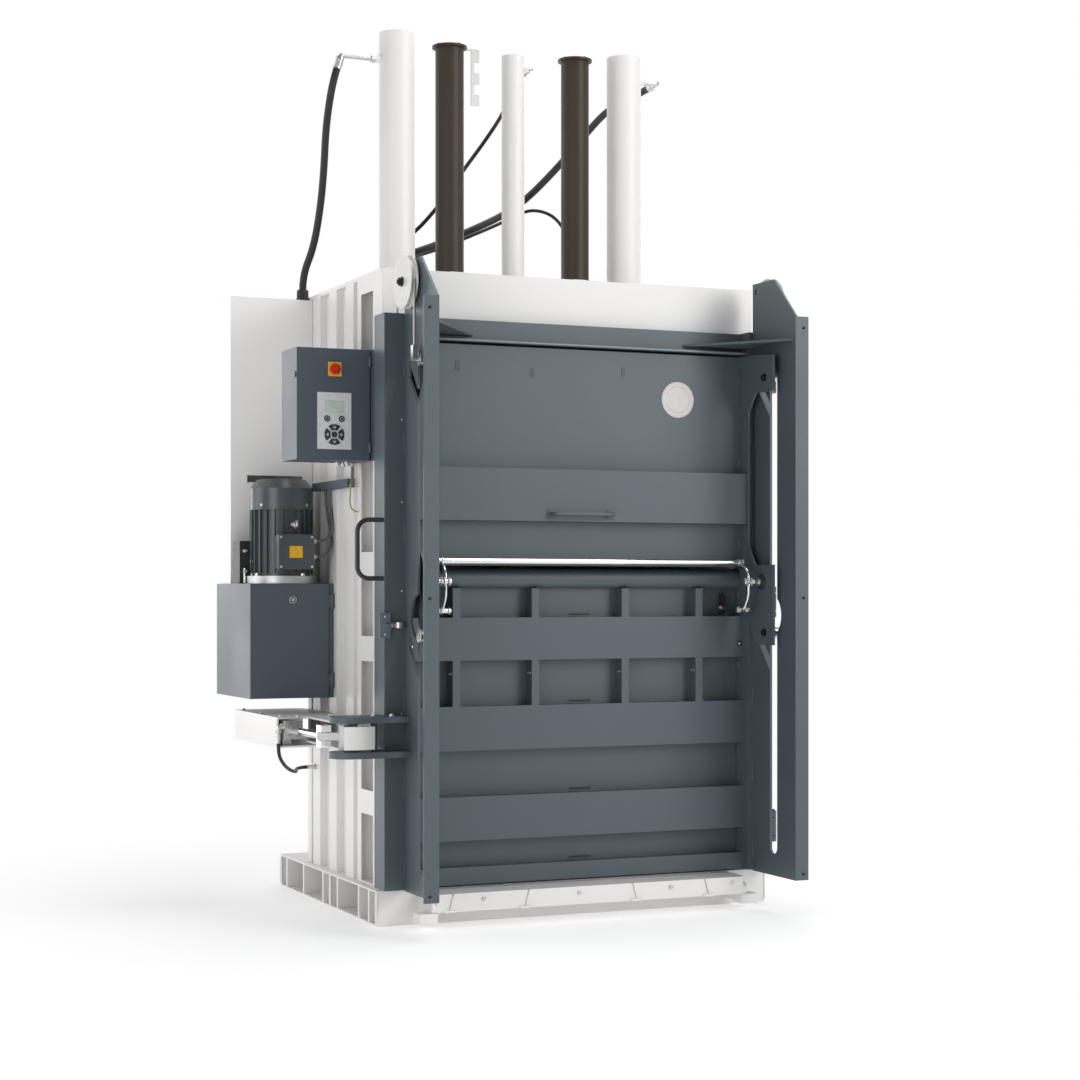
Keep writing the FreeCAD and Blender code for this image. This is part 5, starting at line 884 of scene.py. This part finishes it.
def dress_motor():
    """Cowl grille and screws, flange nuts, lifting eye, terminal box screws and its bare plate."""
    cowl_low, cowl_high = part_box("fan_cowl")
    flange_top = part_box("motor_flange")[1].z
    case_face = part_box("terminal_box")[0].y
    crown = aim(MOTOR_AXIS + Z * cowl_high.z, Z)
    grille = Piece("cowl_grille")
    for index in range(6):
        inner = 0.018 + index * 0.010
        grille.ring(inner, inner + 0.0032, 0.0022, crown, 48, 0.001)
    spoke = [(0.015, -0.0014), (0.078, -0.0014), (0.078, 0.0014), (0.015, 0.0014)]
    for index in range(8):
        grille.extruded(spoke, 0.0022, crown @ Matrix.Rotation(index * math.tau / 8, 4, "Z"))
    grille.done("root", "motor_grey")

    screws = Piece("motor_screws")
    reach = (cowl_high.x - cowl_low.x) / 2
    for out in around_axis(4, 0.62):
        screws.screw(MOTOR_AXIS + out * reach + Z * (cowl_low.z + 0.016), out, 0.0055)
    for out in around_axis(4, 0.42):
        screws.nut(MOTOR_AXIS + out * 0.109 + Z * flange_top, Z, 0.009)
    for across in (-0.054, 0.054):
        for level in (1.149, 1.249):
            screws.screw((MOTOR_AXIS.x + across, case_face, level), FORWARD, 0.0045)
    screws.done("root", "bright_steel")

    eye = Piece("lifting_eye")
    place = aim(MOTOR_AXIS + Vector((0.012, -0.108, 1.292)), FORWARD)
    eye.turned([(0.011, -0.012), (0.011, 0.000), (0.0085, 0.003), (0.0085, 0.010)], place)
    loop = [place @ Vector((0.0, y, 0.022 + z)) for y, z in circle(0.013, 20)]
    for first, second in zip(loop, loop[1:] + loop[:1]):
        eye.turned([(0.0036, 0.0), (0.0036, (second - first).length * 1.15)], aim(first, second - first), 10)
    eye.done("root", "bright_steel")

    glands = Piece("terminal_glands")
    for level in (1.235, 1.183):
        place = aim((-0.763, -0.015, level), X)
        glands.turned([(0.0115, 0.000), (0.0135, 0.001), (0.0135, 0.008), (0.0115, 0.009)], place, HEXAGON)
        glands.turned([(0.0110, 0.009), (0.0110, 0.016), (0.0075, 0.021)], place)
    glands.done("root", "flange_alloy")

    plate = Piece("terminal_plate")
    plate.extruded(rounded(0.046, 0.040, 0.003), 0.0006, front((MOTOR_AXIS.x - 0.002, case_face, 1.199)))
    plate.done("root", "switch_red", YELLOW)


def dress_tank():
    """Lock ring, pipe bracket, filler cap and hinge screws of the oil tank."""
    ring = Piece("dial_ring")
    ring.ring(0.0062, 0.0092, 0.0004, front((-0.8215, -0.0107, 1.038)), 40)
    ring.done("cover_lock", "bright_steel", BLACK_ZINC)

    bracket = Piece("pipe_bracket")
    angle = [
        (-0.962, 0.060), (-0.905, 0.060), (-0.905, 0.063), (-0.959, 0.063), (-0.959, 0.150),
        (-0.962, 0.150),
    ]
    bracket.extruded(angle, 0.146, Matrix.Translation((0.0, 0.09, TANK_TOP)))
    foot = Matrix.Translation((-0.934, 0.19, TANK_TOP))
    bracket.extruded(rounded(0.070, 0.100, 0.004), 0.003, foot, ease=0.001)
    bracket.done("root", "fan_plastic")

    pipes = Piece("bracket_pipes")
    stub = [(0.007, 0.0), (0.007, 0.012), (0.0045, 0.014), (0.0045, 0.030)]
    for across, level in ((-0.947, 1.205), (-0.922, 1.170), (-0.947, 1.135)):
        pipes.turned(stub, aim((across, 0.150, level), FORWARD), HEXAGON)
    for across, length in ((-0.922, 0.090), (-0.947, 0.050)):
        pipes.turned([(0.0045, 0.0), (0.0045, length)], aim((across, 0.140, TANK_TOP + 0.003), Z), 16)
    pipes.done("root", "bright_steel")

    cap = Piece("filler_cap")
    place = aim((-0.915, 0.345, TANK_TOP), Z)
    cap.turned([(0.024, 0.0), (0.024, 0.010), (0.020, 0.012), (0.020, 0.018)], place, 32)
    cap.turned([(0.030, 0.018), (0.031, 0.021), (0.031, 0.034), (0.028, 0.038)], place, 32)
    cap.done("root", "fan_plastic")

    screws = Piece("tank_screws")
    for level in (0.765, 1.033):
        for shift in (-0.012, 0.012):
            screws.screw((-0.684, 0.0, level + shift), FORWARD, 0.0035)
    screws.done("root", "bright_steel")


# ---- head, cylinders and tubes

HEAD_DECK = 2.102
CYLINDER_LINE = 0.026
FLANGE = 0.018  # thickness of a cylinder's flange


def dress_head():
    """Flange bolts, weld rings, the fascia's seam and the bolts in the tubes' caps."""
    bolts = Piece("flange_bolts")
    seams = Piece("flange_seams")
    for across, radius in ((-0.436, 0.062), (0.436, 0.062), (0.0, 0.0405)):
        for out in around_axis(6, 0.3):
            centre = Vector((across, CYLINDER_LINE, HEAD_DECK + FLANGE))
            bolts.hex_bolt(centre + out * (radius + 0.019), Z, 0.009)
        weld = [
            Vector((across + x, CYLINDER_LINE + y, HEAD_DECK + FLANGE + 0.0005))
            for x, y in circle(radius + 0.0015, 28)
        ]
        for start, end in zip(weld, weld[1:] + weld[:1]):
            seams.bead(start, end, 0.003)
    bolts.done("root", "bright_steel")
    starts = [(low, -0.4895, HEAD_DECK + 0.0005) for low in (-0.66, -0.44, -0.22, 0.0, 0.22, 0.44, 0.60)]
    seams.stitches(starts, (0.05, 0.0, 0.0), 0.002)
    seams.done("root", "body_white")

    caps = Piece("cap_bolts")
    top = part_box("tube_caps")[1].z
    for across in (-0.241, 0.241):
        for out in around_axis(4, 0.35):
            caps.hex_bolt((across + 0.050 * out.x, CYLINDER_LINE + 0.050 * out.y, top), Z, 0.006)
    caps.done("ram", "bright_steel")


# ---- hinges and back

def dress_hinges():
    """Bolts and pin caps of the door's three hinges."""
    cap = [(0.0150, 0.0), (0.0155, 0.001), (0.0155, 0.004), (0.0140, 0.006)]
    bolts = Piece("hinge_bolts")
    for middle in (0.260, 1.030, 1.800):
        for shift in (-0.030, 0.030):
            bolts.hex_bolt((0.690, -0.462, middle + shift), X, 0.010)
        bolts.turned(cap, aim((0.722, -0.540, middle + 0.052), Z), 28)
    bolts.done("root", "guard_black", BLACK_ZINC)


def dress_back():
    """Stitched welds along the rear ribs and screws on the back of the valve cabinet."""
    seams = Piece("rear_seams")
    for line in (-0.435, -0.145, 0.145, 0.435):
        for edge in (-0.0405, 0.0405):
            starts = [(line + edge, 0.291, low) for low in (0.20, 0.62, 1.04, 1.46, 1.88)]
            seams.stitches(starts, (0.0, 0.0, 0.060), 0.0035)
    seams.done("root", "body_white")

    screws = Piece("cabinet_screws")
    for across in (-0.944, -0.690):
        for level in (1.115, 1.590, 2.072):
            screws.screw((across, 0.489, level), Y, 0.0050)
    screws.done("root", "bright_steel")


# ---- lock, base and platform

def dress_lock():
    """Bolts, pin heads and nuts on the door lock and the eyebolt's plate."""
    console, ear = 0.651, 0.653  # heights of their tops
    nuts = Piece("lock_nuts")
    for across, depth, top, size in (
        (-0.805, -0.545, ear, 0.013), (-0.86, -0.190, ear, 0.008), (-0.750, -0.190, ear, 0.008),
        (-0.720, -0.330, ear, 0.008), (-0.900, -0.12, console, 0.007), (-0.900, 0.10, console, 0.007),
        (-0.900, 0.32, console, 0.007),
    ):
        nuts.hex_bolt((across, depth, top), Z, size)
    nuts.done("root", "bright_steel")

    pins = Piece("guard_bolts")
    for across, depth in ((-0.735, -0.590), (-0.690, -0.630)):
        pins.hex_bolt((across, depth, 0.675), Z, 0.009)
    for level in (0.932, 0.988):
        pins.screw((-0.700, -0.598, level), FORWARD, 0.0045)
    for across in (-0.681, -0.670):
        pins.nut((across, -0.601, 0.960), X, 0.0105, stud=False)
    pins.done("main_door", "bright_steel")


def dress_base():
    """Platform bolts and the base's weld seams."""
    bolts = Piece("lip_bolts")
    for across in (-0.389, -0.057, 0.278, 0.507):
        bolts.hex_bolt((across, -0.658, 0.090), FORWARD, 0.0080, washer=False)
    bolts.done("root", "bright_steel", replaces=("body_bolts",))

    seams = Piece("base_seams")
    for side in (-1, 1):
        for line in (-0.521, 0.521, -0.050):
            for edge in (-1, 1):
                depth = line + edge * 0.0085
                seams.bead((side * 0.7035, depth, 0.010), (side * 0.7035, depth, 0.104), SEAM)
    seams.done("root", "body_white")


# ---- stage, light and camera

FLOOR_RADIUS = 14.0
FLOOR_LIFT = 0.36  # what the floor near the machine shines by itself
FLOOR_FADE = (1.15, 2.5)  # where the pale floor turns into plain white
PLAIN_WHITE = (1.0, 1.0, 1.0, 1.0)


def floor_material():
    """Pale and shadowed near the machine, plain white away from it."""
    material = bpy.data.materials.new("studio_floor")
    material.use_nodes = True
    tree = material.node_tree
    tree.nodes.clear()
    where = add(tree, "ShaderNodeTexCoord").outputs["Object"]
    distance = add(tree, "ShaderNodeVectorMath", {0: where}, operation="LENGTH").outputs["Value"]
    grain = tones(tree, noise(tree, where, scale=60.0, detail=4.0), (0.86, 0.86, 0.855), (0.88, 0.88, 0.875))
    pale = add(tree, "ShaderNodeBsdfDiffuse", {"Color": grain})
    lift = add(tree, "ShaderNodeEmission", {"Color": PLAIN_WHITE, "Strength": FLOOR_LIFT})
    near = add(tree, "ShaderNodeAddShader", {0: pale.outputs[0], 1: lift.outputs[0]})
    far = add(tree, "ShaderNodeEmission", {"Color": PLAIN_WHITE, "Strength": 1.0})
    span = {"Value": distance, "From Min": FLOOR_FADE[0], "From Max": FLOOR_FADE[1]}
    fade = add(tree, "ShaderNodeMapRange", span, interpolation_type="SMOOTHSTEP")
    mixed = add(tree, "ShaderNodeMixShader", {"Fac": fade.outputs[0], 1: near.outputs[0], 2: far.outputs[0]})
    out = add(tree, "ShaderNodeOutputMaterial")
    tree.links.new(mixed.outputs[0], out.inputs["Surface"])
    return material


def set_stage():
    """A plain pale floor that turns white away from the machine."""
    mesh = bpy.data.meshes.new("floor")
    shape = bmesh.new()
    shape.faces.new([shape.verts.new((x, y, 0.0)) for x, y in circle(FLOOR_RADIUS, 64)])
    shape.to_mesh(mesh)
    shape.free()
    mesh.materials.append(floor_material())
    new_object("floor", mesh)


def set_world():
    """White to the camera and, behind the machine, to gloss; softer light on the machine."""
    world = bpy.data.worlds.new("studio")
    world.use_nodes = True
    tree = world.node_tree
    tree.nodes.clear()
    path = add(tree, "ShaderNodeLightPath").outputs
    heading = add(tree, "ShaderNodeTexCoord").outputs["Generated"]
    depth = add(tree, "ShaderNodeSeparateXYZ", {"Vector": heading}).outputs["Y"]
    span = {"Value": depth, "From Min": -0.3, "From Max": 0.4}
    behind = add(tree, "ShaderNodeMapRange", span, interpolation_type="SMOOTHSTEP").outputs[0]
    glossy = maths(tree, "MULTIPLY", path["Is Glossy Ray"], behind)
    seen = maths(tree, "MAXIMUM", path["Is Camera Ray"], glossy)
    plain = add(tree, "ShaderNodeBackground", {"Color": PLAIN_WHITE, "Strength": 1.0})
    soft = add(tree, "ShaderNodeBackground", {"Color": (0.97, 0.985, 1.0, 1.0), "Strength": 0.27})
    mixed = add(tree, "ShaderNodeMixShader", {"Fac": seen, 1: soft.outputs[0], 2: plain.outputs[0]})
    out = add(tree, "ShaderNodeOutputWorld")
    tree.links.new(mixed.outputs[0], out.inputs["Surface"])
    bpy.context.scene.world = world


LAMPS = (
    # name, place, target, size, power
    ("key_light", (3.4, -5.6, 4.2), (0.0, -0.4, 1.2), (3.2, 2.8), 106.0),
    ("sheen_light", (3.2, -6.0, 2.3), (0.0, -0.5, 1.6), (2.3, 2.6), 66.0),
    ("front_left_light", (-5.4, -4.2, 1.8), (-0.4, -0.2, 1.0), (3.0, 2.8), 74.0),
    ("left_light", (-5.2, 1.4, 2.2), (-0.6, 0.1, 1.1), (2.8, 3.4), 44.0),
    ("rear_left_light", (-3.0, 6.0, 1.6), (-0.8, 0.0, 1.2), (3.0, 3.0), 55.0),
    ("top_light", (0.9, -0.5, 5.6), (0.3, -0.3, 1.2), (4.4, 2.8), 110.0),
    ("rear_right_light", (3.2, 4.4, 3.4), (0.0, 0.2, 1.6), (2.4, 2.4), 30.0),
)


def set_lights():
    """Large soft lamps."""
    for name, place, target, size, power in LAMPS:
        lamp = bpy.data.lights.new(name, "AREA")
        lamp.shape = "RECTANGLE"
        lamp.size, lamp.size_y = size
        lamp.energy = power
        item = new_object(name, lamp)
        item.location = place
        item.rotation_euler = (Vector(target) - Vector(place)).to_track_quat("-Z", "Y").to_euler()
        item.visible_camera = False


def set_camera():
    """A level camera about 1 m up, to the left of the front, its picture shifted up by 50 of 1080 pixels."""
    data = bpy.data.cameras.new("camera")
    data.sensor_width = 36.0
    data.lens = 71.5
    data.shift_y = 50.0 / 1080.0
    item = new_object("camera", data)
    item.location = (-2.957, -6.981, 1.071)
    item.rotation_euler = (math.radians(90.0), 0.0, math.radians(-23.6))
    bpy.context.scene.camera = item


dress_nodes()
lay_cords()
lay_lift_cables()
grommet()
dress_flap()
dress_handle()
dress_door()
dress_cheeks()
dress_controls()
dress_motor()
dress_tank()
dress_head()
dress_hinges()
dress_back()
dress_lock()
dress_base()
set_stage()
set_world()
set_lights()
set_camera()
bpy.context.scene.view_settings.view_transform = "Standard"
